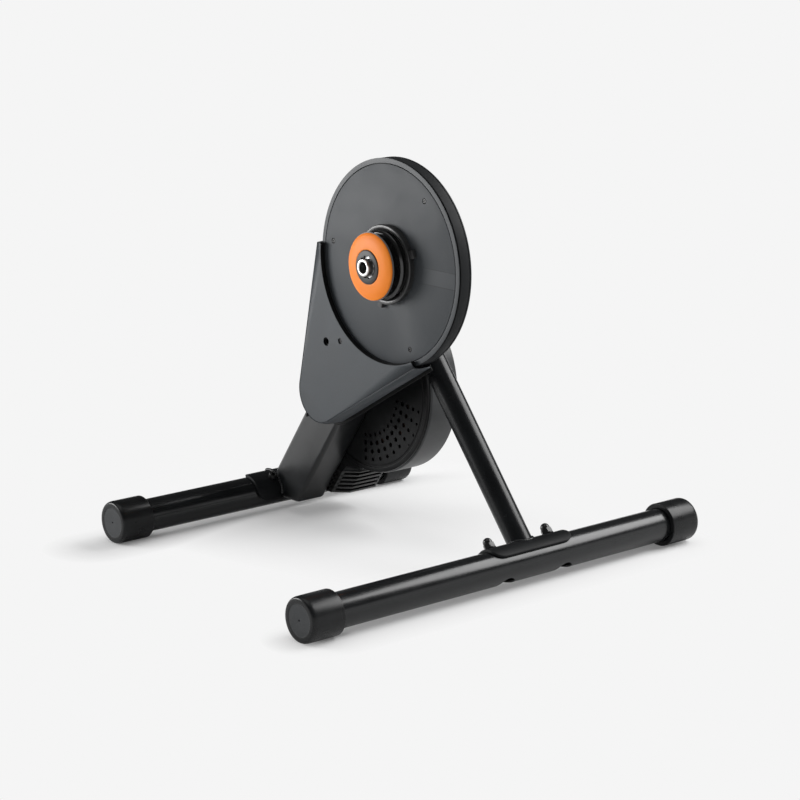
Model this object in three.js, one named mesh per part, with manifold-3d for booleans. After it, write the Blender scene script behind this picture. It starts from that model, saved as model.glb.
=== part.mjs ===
// A direct drive bike trainer: a beam and a strut on two floor bars, a belt pulley with a freehub and one
// cog on the bike's axle, and a flywheel with its brake on the other side of the beam.
// Millimetres, +Z up. +X points forward along the bike, -Y is the bike's chain side.
// The origin is on the floor, midway between the two floor bars and in the front bar's middle plane.
import * as THREE from 'three';
import { mergeVertices } from 'three/addons/utils/BufferGeometryUtils.js';
import Module from 'manifold-3d';

const wasm = await Module();
wasm.setup();

// Clearances
const seatGap = 0.3;          // between pieces that touch on the real object
const cutOverrun = 2;         // how far a cut runs past what it cuts
const weldTolerance = 0.0001; // vertices closer than this are one

// Floor bars
const barSpacing = 412;
const barRadius = 19.05;
const barWall = 2;
const barAxisHeight = 24.4;
const frontBarLength = 564;
const rearBarNearReach = 231.5;
const rearBarFarReach = 203;
const footCapRadius = 24.8;
const footCapLength = 41.5;
const footCapEnd = 5;
const footCapRound = 5;
const footCapRecess = 0.8;
const footCapRecessMargin = 5;

// Axle
const axleX = 38;
const axleHeight = 335;
const axleRadius = 8.5;
const axleBore = 7.4;
const throughAxleBore = 6.2;
const endCapRadius = 9.75;
const endCapChamfer = 0.8;
const endCapSpigot = 8;
const driveEndY = -59;
const leftEndY = 83;
const endCapLength = 8.5;

// Main beam, placed from the line through the axle that passes in front of the rear bar's axis
const beamAhead = 22.75;
const beamFront = 24;
const beamDepth = 53.5;
const beamWidth = 41.2;
const beamDriveY = -2.8;
const beamRound = 5;
const beamWall = 3;
const beamBottom = 17;
const beamFootRound = 9;
const headRadius = 21;
const headLeftY = 60;
const headRound = 2.5;

// Strut, which passes just in front of the flywheel
const strutRoom = 0.8;
const strutY = 35.2;
const strutRadius = 14.3;
const strutWall = 2;

// Saddles, bolts and dome nuts
const saddleThickness = 3;
const frontSaddleHalfLength = 58;
const frontSaddleHalfWidth = 14.5;
const frontSaddleCorner = 12.5;
const frontBoltSpacing = 86;
const rearSaddleY = 18;
const rearSaddleHalfLength = 56;
const rearSaddleHalfWidth = 20.5;
const rearSaddleCorner = 15;
const rearBoltSpacing = 57;
const rearBoltReach = 12;
const boltRadius = 3;
const boltHeadRadius = 5;
const boltHeadHeight = 5;
const accessHoleRadius = 6.8;
const nutAcrossFlats = 11.4;
const nutHexHeight = 6;
const nutDomeRadius = 5.3;
const nutHeight = 13;
const nutBoreDepth = 9;

// Belt pulley
const pulleyFaceY = -22;
const pulleyBackY = -4;
const pulleyRadius = 116.5;
const flangeHeight = 3;
const flangeThickness = 2;
const rimThickness = 5;
const pulleyWebY = -9;
const pulleyWebThickness = 3;
const pulleyHubRadius = 20;
const coverThickness = 1.6;
const coverRim = 6.3;
const coverBore = 32;
const coverScrewInset = 13.2;
const coverScrewTurn = THREE.MathUtils.degToRad(52);
const coverScrewRadius = 2.6;
const coverScrewShank = 1.5;
const coverScrewHeadHeight = 1;
const coverScrewPost = 4;

// Clutch and its ring
const clutchHousingRadius = 44.5;
const clutchHousingLip = 4;
const clutchHousingRound = 1;
const clutchHousingHeight = 7.2;
const clutchHousingWall = 8.5;
const clutchBore = 24.6;

// Freehub, cog and guards
const freehubRadius = 17.2;
const freehubBore = 15.3;
const freehubFrontY = -50.2;
const freehubCollarRadius = 24;
const splineCount = 9;
const splineDepth = 1.4;
const cogTeeth = 14;
const chainPitch = 12.7;
const cogTipHeight = 2.9;
const cogRootDepth = 3.9;
const cogThickness = 2.2;
const cogY = -41.2;
const innerGuardRadius = 38.7;
const innerGuardY = -35.6;
const innerGuardThickness = 3;
const innerGuardBevel = 2.6;
const innerGuardBevelDepth = 2;
const guardHubRadius = 23;
const outerGuardRadius = 37.2;
const outerGuardRimY = -48.6;
const outerGuardCrownY = -52.4;
const outerGuardThickness = 2;
const outerGuardRound = 0.6;
const backingReach = 0.8;
const backingThickness = 1.6;
const lockringRadius = 18.7;
const lockringBore = 11.8;
const lockringNotches = 12;
const lockringNotchRadius = 1.1;
const lockringDish = 0.9;

// Ball bearings: bore, outer radius and width
const pulleyBearing = { bore: 8.8, outer: 13, width: 5 };
const freehubBearing = { bore: 8.8, outer: 15, width: 7 };
const shaftBearing = { bore: 8.8, outer: 17.5, width: 10 };
const bearingShieldInset = 0.5;
const bearingRaceShare = 0.28;

// Flywheel shaft and small pulley
const shaftShare = 0.4955;    // of the beam's line, down from the axle to beside the rear bar
const shaftAhead = 2;
const shaftRadius = 8.5;
const shaftPlay = 1.2;
const smallPulleySeat = 20;
const smallPulleyFlange = 24;
const beltWidth = 13.6;
const beltThickness = 2.6;
const pulleyNutAcrossFlats = 24;
const pulleyNutHeight = 4;
const shaftThreadRadius = 6;

// Flywheel and brake
const flywheelRadius = 108;
const flywheelNearY = 43;
const flywheelWidth = 41;
const flywheelRim = 13;
const flywheelWeb = 8;
const flywheelHubRadius = 24;
const flywheelHubLength = 22;
const flywheelEdge = 1.5;
const flywheelDish = 3;
const magnetThickness = 4;
const magnetWidth = 24;
const airGap = 1;
const statorPoles = 9;
const statorPoleWidth = 20;
const statorPoleHeight = 22;
const statorPoleReach = 27.7;
const statorCoreBore = 30;
const statorThickness = 16;
const coilBulge = 4;
const coilDepth = 13;
const brakeCoverStep = 1.3;
const brakeCoverDepth = 2.9;
const brakeCoverPlate = 1.5;
const brakeCoverRing = 5.7;
const brakeGrooveWidth = 3.5;
const brakeGrooveDepth = 0.9;
const ventBackShare = 0.044;   // these four are shares of the cover's radius
const ventDropShare = 0.053;
const ventFirstShare = 0.543;
const ventStepShare = 0.09;
const ventFirstTurn = THREE.MathUtils.degToRad(-7.9);
const ventSpokeStep = THREE.MathUtils.degToRad(-9.06);
const ventSpokes = 10;
const ventRadii = [1.6, 2.2, 2.1, 1.8, 1.4];
const ventSides = 6;

// Belt guard
const guardFaceY = -28.7;
const guardBackY = -4.2;
const guardFaceThickness = 2;
const guardWall = 1.8;
const guardLeftRoom = 2.9;
const guardRightRoom = 4.5;
const guardCornerBack = 7.5;
const guardCornerDrop = 3.7;
const guardCornerRadius = 38;
const guardBevel = 2.2;
const guardBevelDepth = 9;
const guardMouthGap = 1.3;
const guardLipY = -23.4;
const guardTipRise = 10;
const guardEndRoom = 2.2;
const guardEndPlace = THREE.MathUtils.degToRad(-65.46);
const guardEndTurn = THREE.MathUtils.degToRad(-57.8);
const backplateThickness = 0.8;
const backplateMargin = 1.4;
const pulleyRoom = 1.5;
const powerHoleOut = 28.5;
const powerHolePlace = THREE.MathUtils.degToRad(-134.94);
const powerHoleRadius = 5;
const lightHoleOut = 8.5;
const lightHolePlace = THREE.MathUtils.degToRad(-128.24);
const lightHoleRadius = 3.4;
const socketRadius = 6.5;
const socketBore = 3.3;
const socketDepth = 9;
const socketLength = 11;
const socketPinRadius = 0.9;
const socketPinLength = 6;
const lightRimThickness = 1.2;
const ioBoardWidth = 52;
const ioBoardHeight = 26;
const boardThickness = 1.6;

// Lower housing, laid out along the beam's own directions
const housingFoldY = 54.5;
const housingFarY = 94;
const housingNearOut = 30;
const housingFrontOut = 43.2;
const flywheelRoom = 10.8;
const housingBottomShare = 0.466; // of the height of its top
const housingWall = 2;
const slatCount = 4;
const firstSlatShare = 0.137;     // these three are shares of the housing's height
const slatStepShare = 0.159;
const slatGapShare = 0.079;
const slatDepth = 1.1;
const slatMargin = 5;
const mainBoardMargin = 4;
const cableHoleRadius = 4;

// Sides of the round pieces
const fineSides = 44;
const hubSides = 32;
const roundSides = 20;
const smallSides = 10;
const beltSteps = 30;

// The two bars' places, and the beam's line from the axle down to beside the rear bar
const frontBarX = barSpacing / 2;
const rearBarX = -barSpacing / 2;
const axleFromRearBar = new THREE.Vector2(axleX - rearBarX, axleHeight - barAxisHeight);
const beamAngle = axleFromRearBar.angle() + Math.asin(beamAhead / axleFromRearBar.length());
const beamLength = Math.sqrt(axleFromRearBar.lengthSq() - beamAhead ** 2);

// The beam's own directions: up along it and out of its front face
const along = new THREE.Vector2(Math.cos(beamAngle), Math.sin(beamAngle));
const outward = new THREE.Vector2(Math.sin(beamAngle), -Math.cos(beamAngle));

// A point given by how far it lies out of the line through the axle and how far up along it
function beamPoint(out, up) {
  return [
    axleX + outward.x * out + along.x * up,
    axleHeight + outward.y * out + along.y * up,
  ];
}

// How far along the beam a point at one distance out reaches a height
function upAtHeight(out, height) {
  return (height - axleHeight - outward.y * out) / along.y;
}

// A point given by its distance and direction from the axle
function aroundAxle(distance, turn) {
  return [axleX + distance * Math.cos(turn), axleHeight + distance * Math.sin(turn)];
}

const [shaftX, shaftHeight] = beamPoint(shaftAhead, -beamLength * shaftShare);
const beltSeatRadius = pulleyRadius - flangeHeight;
const coverRadius = pulleyRadius - coverRim;
const coverScrewCircle = coverRadius - coverScrewInset;
const brakeCoverRadius = flywheelRadius - brakeCoverStep;
const saddleRadius = barRadius + seatGap + saddleThickness;

// The strut's line touches a circle round the flywheel that leaves it its own radius and its room
const shaftFromFrontBar = new THREE.Vector2(frontBarX - shaftX, shaftHeight - barAxisHeight);
const strutAngle = shaftFromFrontBar.angle()
  + Math.asin((flywheelRadius + strutRoom + strutRadius) / shaftFromFrontBar.length());
const strutLean = Math.PI / 2 - strutAngle;

// A geometry with shared vertices, no flat triangles, and faces that point out
function closed(geometry) {
  const bare = new THREE.BufferGeometry();
  bare.setAttribute('position', geometry.getAttribute('position'));
  if (geometry.index) bare.setIndex(geometry.index);
  const merged = mergeVertices(bare, weldTolerance);
  const index = Array.from(merged.index.array);
  const point = [0, 1, 2].map(() => new THREE.Vector3());
  const kept = [];
  let volume = 0;
  for (let i = 0; i < index.length; i += 3) {
    const [a, b, c] = index.slice(i, i + 3);
    if (a === b || b === c || c === a) continue;
    kept.push(a, b, c);
    [a, b, c].forEach((corner, k) => point[k].fromBufferAttribute(merged.attributes.position, corner));
    volume += point[0].dot(point[1].clone().cross(point[2]));
  }
  if (volume < 0) {
    for (let i = 0; i < kept.length; i += 3) [kept[i], kept[i + 1]] = [kept[i + 1], kept[i]];
  }
  merged.setIndex(kept);
  return merged;
}

function toSolid(geometry) {
  const shape = closed(geometry);
  return new wasm.Manifold(new wasm.Mesh({
    numProp: 3,
    vertProperties: new Float32Array(shape.attributes.position.array),
    triVerts: new Uint32Array(shape.index.array),
  }));
}

function toGeometry(solid) {
  const mesh = solid.getMesh();
  const geometry = new THREE.BufferGeometry();
  geometry.setAttribute('position', new THREE.BufferAttribute(new Float32Array(mesh.vertProperties), 3));
  geometry.setIndex(Array.from(mesh.triVerts));
  return geometry;
}

// The first geometry less the others, and the first joined with the others
function cut(geometry, ...tools) {
  return toGeometry(tools.reduce((left, tool) => left.subtract(toSolid(tool)), toSolid(geometry)));
}

function join(geometry, ...others) {
  return toGeometry(others.reduce((sum, other) => sum.add(toSolid(other)), toSolid(geometry)));
}

function overlap(geometry, other) {
  return toGeometry(toSolid(geometry).intersect(toSolid(other)));
}

// A piece turned about the Y axis from points of radius and y
function turned(profile, sides = roundSides) {
  const points = profile.map(([radius, y]) => new THREE.Vector2(radius, y));
  const first = points[0];
  const last = points[points.length - 1];
  if (first.x > 0 || last.x > 0) points.push(first.clone());
  return closed(new THREE.LatheGeometry(points, sides));
}

function rod(radius, lowY, highY, sides = roundSides) {
  return turned([[0, lowY], [radius, lowY], [radius, highY], [0, highY]], sides);
}

function ring(bore, radius, lowY, highY, sides = roundSides) {
  return turned([[bore, lowY], [radius, lowY], [radius, highY], [bore, highY]], sides);
}

// A flat shape drawn in x and z, made thick from lowY to highY, with rounded edges if asked
function slab(shape, lowY, highY, edgeRound = 0, edgeDepth = edgeRound, roundSteps = 3) {
  const geometry = new THREE.ExtrudeGeometry(shape, {
    depth: highY - lowY - 2 * edgeDepth,
    bevelEnabled: edgeRound > 0,
    bevelThickness: edgeDepth,
    bevelSize: edgeRound,
    bevelOffset: -edgeRound,
    bevelSegments: roundSteps,
  });
  geometry.rotateX(Math.PI / 2);
  geometry.translate(0, highY - edgeDepth, 0);
  return closed(geometry);
}

function polygon(points) {
  return new THREE.Shape(points.map(([x, z]) => new THREE.Vector2(x, z)));
}

function block(lowX, highX, lowY, highY, lowZ, highZ) {
  const geometry = new THREE.BoxGeometry(highX - lowX, highY - lowY, highZ - lowZ);
  geometry.translate((lowX + highX) / 2, (lowY + highY) / 2, (lowZ + highZ) / 2);
  return geometry;
}

// The outline of a six-sided nut
function hexagon(acrossFlats) {
  const corner = acrossFlats / Math.sqrt(3);
  return polygon([0, 1, 2, 3, 4, 5].map((k) => [
    corner * Math.cos(k * Math.PI / 3),
    corner * Math.sin(k * Math.PI / 3),
  ]));
}

// Points of an arc in x and z, both ends included
function arcPoints(centreX, centreZ, radius, fromAngle, toAngle, steps) {
  const points = [];
  for (let k = 0; k <= steps; k++) {
    const angle = fromAngle + (toAngle - fromAngle) * k / steps;
    points.push([centreX + radius * Math.cos(angle), centreZ + radius * Math.sin(angle)]);
  }
  return points;
}

const paint = {
  satinBlack: { color: 0x17181a, roughness: 0.42, metalness: 0.4 },
  guardGrey: { color: 0x3b3c3e, roughness: 0.55, metalness: 0 },
  coverGrey: { color: 0x3a3b3d, roughness: 0.5, metalness: 0.1 },
  rubber: { color: 0x222325, roughness: 0.7, metalness: 0 },
  blackPlastic: { color: 0x131416, roughness: 0.55, metalness: 0 },
  steel: { color: 0xa9abae, roughness: 0.3, metalness: 1 },
  darkSteel: { color: 0x3a3b3e, roughness: 0.35, metalness: 0.8 },
  orange: { color: 0xff6a13, roughness: 0.45, metalness: 0 },
  greyPlastic: { color: 0x6d6f72, roughness: 0.5, metalness: 0 },
  flywheelPaint: { color: 0x2d2e31, roughness: 0.4, metalness: 0.5 },
  magnet: { color: 0x55575a, roughness: 0.35, metalness: 0.9 },
  copper: { color: 0x9a5a30, roughness: 0.4, metalness: 0.8 },
  board: { color: 0x1f5a38, roughness: 0.5, metalness: 0 },
  lamp: { color: 0xd8dbe0, roughness: 0.3, metalness: 0 },
};

const trainer = new THREE.Group();
const onAxle = new THREE.Group();
const onShaft = new THREE.Group();
onAxle.position.set(axleX, 0, axleHeight);
onShaft.position.set(shaftX, 0, shaftHeight);
trainer.add(onAxle, onShaft);

function place(name, geometry, finish, parent = trainer) {
  const mesh = new THREE.Mesh(geometry, new THREE.MeshStandardMaterial(finish));
  mesh.name = name;
  parent.add(mesh);
  return mesh;
}

// Floor bars, their rubber caps and the bolts of the front bar
function barTube(nearY, farY) {
  return ring(barRadius - barWall, barRadius, nearY + footCapEnd + seatGap, farY - footCapEnd - seatGap);
}

function footCap(outerY, towards) {
  const bore = barRadius + seatGap;
  const dimple = footCapRadius - footCapRecessMargin;
  const geometry = turned([
    [0, outerY + towards * footCapRecess],
    [dimple, outerY + towards * footCapRecess],
    [dimple + footCapRecess, outerY],
    [footCapRadius - footCapRound, outerY],
    [footCapRadius - footCapRound * (1 - Math.SQRT1_2), outerY + towards * footCapRound * (1 - Math.SQRT1_2)],
    [footCapRadius, outerY + towards * footCapRound],
    [footCapRadius, outerY + towards * footCapLength],
    [bore, outerY + towards * footCapLength],
    [bore, outerY + towards * footCapEnd],
    [0, outerY + towards * footCapEnd],
  ]);
  const below = -barAxisHeight;
  const floor = block(
    -footCapRadius, footCapRadius,
    Math.min(outerY, outerY + towards * footCapLength) - cutOverrun,
    Math.max(outerY, outerY + towards * footCapLength) + cutOverrun,
    below - footCapRadius, below,
  );
  return cut(geometry, floor);
}

const frontBarGroup = new THREE.Group();
const rearBarGroup = new THREE.Group();
frontBarGroup.position.set(frontBarX, 0, barAxisHeight);
rearBarGroup.position.set(rearBarX, 0, barAxisHeight);
trainer.add(frontBarGroup, rearBarGroup);

// A piece turned about the Y axis, laid instead along a line that leans back from the vertical
function leaning(geometry, y, lean) {
  geometry.rotateX(Math.PI / 2);
  geometry.rotateY(-lean);
  geometry.translate(0, y, 0);
  return geometry;
}

function leaningRod(radius, low, high, y, lean, sides = smallSides) {
  return leaning(rod(radius, low, high, sides), y, lean);
}

// A curved plate that hugs a bar, with rounded ends and a hole for each bolt
function saddle(middleY, halfLength, halfWidth, corner, lean, holes) {
  const length = halfLength - corner;
  const width = halfWidth - corner;
  const outline = new THREE.Shape();
  outline.absarc(length, width, corner, 0, Math.PI / 2);
  outline.absarc(-length, width, corner, Math.PI / 2, Math.PI);
  outline.absarc(-length, -width, corner, Math.PI, Math.PI * 1.5);
  outline.absarc(length, -width, corner, Math.PI * 1.5, Math.PI * 2);
  const prism = new THREE.ExtrudeGeometry(outline, {
    depth: saddleRadius + cutOverrun, bevelEnabled: false, curveSegments: 5,
  });
  prism.rotateZ(Math.PI / 2);
  prism.rotateY(-lean);
  prism.translate(0, middleY, 0);
  const sleeve = ring(barRadius + seatGap, saddleRadius, middleY - halfLength, middleY + halfLength, fineSides);
  return cut(overlap(sleeve, prism), ...holes);
}

function boltHole(y, lean) {
  return leaningRod(boltRadius + seatGap, 0, saddleRadius + cutOverrun, y, lean);
}

const frontBarHalf = frontBarLength / 2;
const frontBoltYs = [strutY - frontBoltSpacing / 2, strutY + frontBoltSpacing / 2];
const frontHoles = frontBoltYs.map((y) => boltHole(y, strutLean));
const accessHoles = frontBoltYs.map((y) => leaningRod(
  accessHoleRadius, -saddleRadius - cutOverrun, 0, y, strutLean,
));
place('front_bar', cut(
  barTube(-frontBarHalf, frontBarHalf), ...frontHoles, ...accessHoles,
), paint.satinBlack, frontBarGroup);
place('foot_cap_front_near', footCap(-frontBarHalf, 1), paint.rubber, frontBarGroup);
place('foot_cap_front_far', footCap(frontBarHalf, -1), paint.rubber, frontBarGroup);
place('front_saddle', saddle(
  strutY, frontSaddleHalfLength, frontSaddleHalfWidth, frontSaddleCorner, strutLean, frontHoles,
), paint.satinBlack, frontBarGroup);

// A bolt whose head sits under the upper wall of the bar, and the dome nut on its other end
function headedBolt(seat, tip) {
  return turned([
    [0, seat - boltHeadHeight], [boltHeadRadius, seat - boltHeadHeight], [boltHeadRadius, seat],
    [boltRadius, seat], [boltRadius, tip], [0, tip],
  ], smallSides);
}

function domeNut(seat) {
  const domeTop = seat + nutHeight;
  const shoulder = seat + nutHexHeight;
  const hex = slab(hexagon(nutAcrossFlats), seat, shoulder);
  const centre = domeTop - nutDomeRadius;
  const dome = turned([
    [0, seat + seatGap], [nutDomeRadius, seat + seatGap], [nutDomeRadius, centre],
    ...arcPoints(0, centre, nutDomeRadius, Math.PI / 6, Math.PI / 2, 2),
  ], smallSides);
  const bore = rod(boltRadius + seatGap, seat - cutOverrun, seat + nutBoreDepth, smallSides);
  return cut(join(hex, dome), bore);
}

const underWall = Math.sqrt((barRadius - barWall) ** 2 - boltHeadRadius ** 2) - seatGap;
const nutSeat = saddleRadius + seatGap;
frontBoltYs.forEach((y, k) => {
  const side = k === 0 ? 'near' : 'far';
  const bolt = headedBolt(underWall, nutSeat + nutBoreDepth - seatGap);
  place(`front_bolt_${side}`, leaning(bolt, y, strutLean), paint.darkSteel, frontBarGroup);
  place(`front_nut_${side}`, leaning(domeNut(nutSeat), y, strutLean), paint.satinBlack, frontBarGroup);
});

// Rear bar with the saddle that the beam stands on; its bolts thread into the bar
const rearLean = beamAngle - Math.PI / 2;
const rearBoltYs = [rearSaddleY - rearBoltSpacing / 2, rearSaddleY + rearBoltSpacing / 2];
const rearHoles = rearBoltYs.map((y) => boltHole(y, rearLean));
place('rear_bar', cut(barTube(-rearBarNearReach, rearBarFarReach), ...rearHoles), paint.satinBlack, rearBarGroup);
place('foot_cap_rear_near', footCap(-rearBarNearReach, 1), paint.rubber, rearBarGroup);
place('foot_cap_rear_far', footCap(rearBarFarReach, -1), paint.rubber, rearBarGroup);
place('rear_saddle', saddle(
  rearSaddleY, rearSaddleHalfLength, rearSaddleHalfWidth, rearSaddleCorner, rearLean, rearHoles,
), paint.satinBlack, rearBarGroup);
rearBoltYs.forEach((y, k) => {
  const side = k === 0 ? 'near' : 'far';
  const bolt = turned([
    [0, rearBoltReach], [boltRadius, rearBoltReach], [boltRadius, nutSeat], [boltHeadRadius, nutSeat],
    [boltHeadRadius, nutSeat + boltHeadHeight], [0, nutSeat + boltHeadHeight],
  ], smallSides);
  place(`rear_bolt_${side}`, leaning(bolt, y, rearLean), paint.darkSteel, rearBarGroup);
});

const beamLeftY = beamDriveY + beamWidth;

function beamOutline(inset) {
  const front = beamFront - inset;
  const back = beamFront - beamDepth + inset;
  const bottom = beamBottom + inset;
  const corner = beamFootRound - inset;
  const [topX, topZ] = beamPoint((front + back) / 2, 0);
  const outAngle = Math.atan2(outward.y, outward.x);
  const [frontFootX] = beamPoint(front, upAtHeight(front, bottom));
  const cornerX = frontFootX - corner * Math.tan(beamAngle / 2);
  return polygon([
    ...arcPoints(topX, topZ, beamDepth / 2 - inset, outAngle, outAngle + Math.PI, 12),
    beamPoint(back, -beamLength),
    [rearBarX, bottom],
    ...arcPoints(cornerX, bottom + corner, corner, -Math.PI / 2, outAngle, 4),
  ]);
}

const shell = slab(beamOutline(0), beamDriveY, beamLeftY, beamRound);
const hollow = slab(
  beamOutline(beamWall), beamDriveY + beamWall, beamLeftY - beamWall, beamRound - beamWall, beamRound - beamWall, 1,
);

// Holes through the beam for the axle's head and the flywheel shaft's housing, and the seat on the saddle
const housingRadius = shaftBearing.outer + seatGap + beamWall;

function throughBeam(radius, x, z, sides = roundSides) {
  const hole = rod(radius, beamDriveY - cutOverrun, beamLeftY + cutOverrun, sides);
  hole.translate(x, 0, z);
  return hole;
}

// The lower housing stands between the flywheel and the floor, clear of the rear saddle
const housingTop = shaftHeight - flywheelRadius - flywheelRoom;
const housingBottom = housingTop * housingBottomShare;
const housingHeight = housingTop - housingBottom;
const housingBackOut = saddleRadius + seatGap - beamAhead;

// The hole that the brake's cable takes from the beam into the lower housing
function cableHole(lowY, highY) {
  const [x, z] = beamPoint(beamFront / 2, upAtHeight(beamFront / 2, (housingBottom + housingTop) / 2));
  const hole = rod(cableHoleRadius, lowY, highY, smallSides);
  hole.translate(x, 0, z);
  return hole;
}

const saddleSeat = saddleRadius + seatGap;
place('main_beam', cut(
  shell,
  cut(hollow, throughBeam(saddleSeat + beamWall, rearBarX, barAxisHeight, fineSides)),
  throughBeam(saddleSeat, rearBarX, barAxisHeight, fineSides),
  throughBeam(headRadius + seatGap, axleX, axleHeight),
  throughBeam(housingRadius + seatGap, shaftX, shaftHeight),
  cableHole(beamLeftY - beamWall - cutOverrun, beamLeftY + cutOverrun),
), paint.satinBlack);

// Strut, closed at the top where it meets the beam's front face, and open at the saddle
function strut() {
  const lowY = strutY - strutRadius - cutOverrun;
  const highY = strutY + strutRadius + cutOverrun;
  const seat = rod(saddleSeat, lowY, highY, fineSides);
  seat.translate(frontBarX, 0, barAxisHeight);

  function behind(out) {
    return slab(polygon([
      beamPoint(out, -barSpacing), beamPoint(out, barSpacing),
      beamPoint(-barSpacing, barSpacing), beamPoint(-barSpacing, -barSpacing),
    ]), lowY, highY);
  }

  function alongStrut(radius) {
    const piece = leaningRod(radius, 0, barSpacing, strutY, strutLean, roundSides);
    piece.translate(frontBarX, 0, barAxisHeight);
    return piece;
  }
  const bore = cut(alongStrut(strutRadius - strutWall), behind(beamFront + seatGap + strutWall));
  return cut(alongStrut(strutRadius), bore, seat, behind(beamFront + seatGap));
}
place('strut', strut(), paint.satinBlack);

// A sealed ball bearing as one ring, with the shield on its drive side set back between the races
function bearing({ bore, outer, width }, nearY) {
  const farY = nearY + width;
  const race = (outer - bore) * bearingRaceShare;
  return turned([
    [bore, nearY], [bore + race, nearY], [bore + race, nearY + bearingShieldInset],
    [outer - race, nearY + bearingShieldInset], [outer - race, nearY], [outer, nearY],
    [outer, farY], [bore, farY],
  ]);
}

// Axle, its end caps, bearings and spacers, from the chain side to the left
const axleNearY = driveEndY + endCapLength + seatGap;
const axleFarY = leftEndY - endCapLength - seatGap;
const spacerRadius = freehubBearing.bore + (freehubBearing.outer - freehubBearing.bore) * bearingRaceShare;
place('axle', ring(axleBore, axleRadius, axleNearY, axleFarY), paint.darkSteel, onAxle);

function endCap(outerY, towards) {
  return turned([
    [throughAxleBore, outerY], [endCapRadius - endCapChamfer, outerY],
    [endCapRadius, outerY + towards * endCapChamfer], [endCapRadius, outerY + towards * endCapLength],
    [axleBore - seatGap, outerY + towards * endCapLength],
    [axleBore - seatGap, outerY + towards * (endCapLength + endCapSpigot)],
    [throughAxleBore, outerY + towards * (endCapLength + endCapSpigot)],
  ]);
}
place('drive_end_cap', endCap(driveEndY, 1), paint.steel, onAxle);
place('left_end_cap', endCap(leftEndY, -1), paint.steel, onAxle);

const outerFreehubBearingY = driveEndY + endCapLength + seatGap;
const innerFreehubBearingY = pulleyFaceY - clutchHousingHeight - freehubBearing.width - seatGap;
const outerPulleyBearingY = pulleyFaceY + coverThickness;
const innerPulleyBearingY = pulleyBackY - pulleyBearing.width;
place('freehub_bearing_outer', bearing(freehubBearing, outerFreehubBearingY), paint.steel, onAxle);
place('freehub_bearing_inner', bearing(freehubBearing, innerFreehubBearingY), paint.steel, onAxle);
place('pulley_bearing_outer', bearing(pulleyBearing, outerPulleyBearingY), paint.steel, onAxle);
place('pulley_bearing_inner', bearing(pulleyBearing, innerPulleyBearingY), paint.steel, onAxle);

function spacer(nearY, farY) {
  return ring(freehubBearing.bore, spacerRadius, nearY + seatGap, farY - seatGap);
}
place('freehub_spacer', spacer(outerFreehubBearingY + freehubBearing.width, innerFreehubBearingY),
  paint.steel, onAxle);
place('hub_spacer', spacer(innerFreehubBearingY + freehubBearing.width, outerPulleyBearingY),
  paint.steel, onAxle);
place('pulley_spacer', spacer(outerPulleyBearingY + pulleyBearing.width, innerPulleyBearingY),
  paint.steel, onAxle);
place('left_spacer', spacer(headLeftY, leftEndY - endCapLength), paint.steel, onAxle);
const headNoseY = innerPulleyBearingY + pulleyBearing.width + seatGap;
place('axle_head', turned([
  [axleRadius + seatGap, headNoseY], [spacerRadius, headNoseY], [spacerRadius, beamDriveY],
  [headRadius, beamDriveY], [headRadius, headLeftY - headRound],
  [headRadius - headRound, headLeftY], [axleRadius + seatGap, headLeftY],
]), paint.satinBlack, onAxle);

// Belt pulley: rim with two flanges, a web and a hub, and posts for the cover's screws
const flangeBackY = pulleyBackY - flangeThickness;
const coverBackY = pulleyFaceY + coverThickness;
const webFaceY = pulleyWebY - pulleyWebThickness;
const hubFaceY = coverBackY + seatGap;

function beltPulley() {
  const innerRim = beltSeatRadius - rimThickness;
  const body = turned([
    [pulleyBearing.outer + seatGap, hubFaceY],
    [pulleyHubRadius, hubFaceY],
    [pulleyHubRadius, webFaceY],
    [innerRim, webFaceY],
    [innerRim, coverBackY + seatGap],
    [coverRadius + seatGap, coverBackY + seatGap],
    [coverRadius + seatGap, pulleyFaceY],
    [pulleyRadius, pulleyFaceY],
    [pulleyRadius, pulleyFaceY + flangeThickness],
    [beltSeatRadius, pulleyFaceY + flangeThickness],
    [beltSeatRadius, flangeBackY],
    [pulleyRadius - seatGap, flangeBackY],
    [pulleyRadius - seatGap, pulleyBackY],
    [innerRim, pulleyBackY],
    [innerRim, pulleyWebY],
    [pulleyHubRadius, pulleyWebY],
    [pulleyHubRadius, pulleyBackY - seatGap],
    [pulleyBearing.outer + seatGap, pulleyBackY - seatGap],
  ], fineSides);
  const posts = coverScrewPlaces.map(([x, z]) => {
    const post = rod(coverScrewPost, coverBackY + seatGap, pulleyWebY - seatGap, smallSides);
    post.translate(x, 0, z);
    return post;
  });
  const bores = coverScrewPlaces.map(([x, z]) => {
    const bore = rod(coverScrewShank + seatGap, coverBackY - cutOverrun, webFaceY - seatGap, smallSides);
    bore.translate(x, 0, z);
    return bore;
  });
  return cut(join(body, ...posts), ...bores);
}
const coverScrewPlaces = [0, 1, 2].map((k) => {
  const turn = coverScrewTurn + k * Math.PI * 2 / 3;
  return [coverScrewCircle * Math.cos(turn), coverScrewCircle * Math.sin(turn)];
});
place('belt_pulley', beltPulley(), paint.blackPlastic, onAxle);
place('pulley_cover', cut(
  ring(coverBore, coverRadius, pulleyFaceY, coverBackY, fineSides),
  ...coverScrewPlaces.map(([x, z]) => {
    const hole = turned([
      [0, pulleyFaceY - cutOverrun],
      [coverScrewRadius + seatGap, pulleyFaceY - cutOverrun],
      [coverScrewRadius + seatGap, pulleyFaceY + coverScrewHeadHeight],
      [coverScrewShank + seatGap, pulleyFaceY + coverScrewHeadHeight],
      [coverScrewShank + seatGap, coverBackY + cutOverrun],
      [0, coverBackY + cutOverrun],
    ], smallSides);
    hole.translate(x, 0, z);
    return hole;
  }),
), paint.coverGrey, onAxle);
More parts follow.
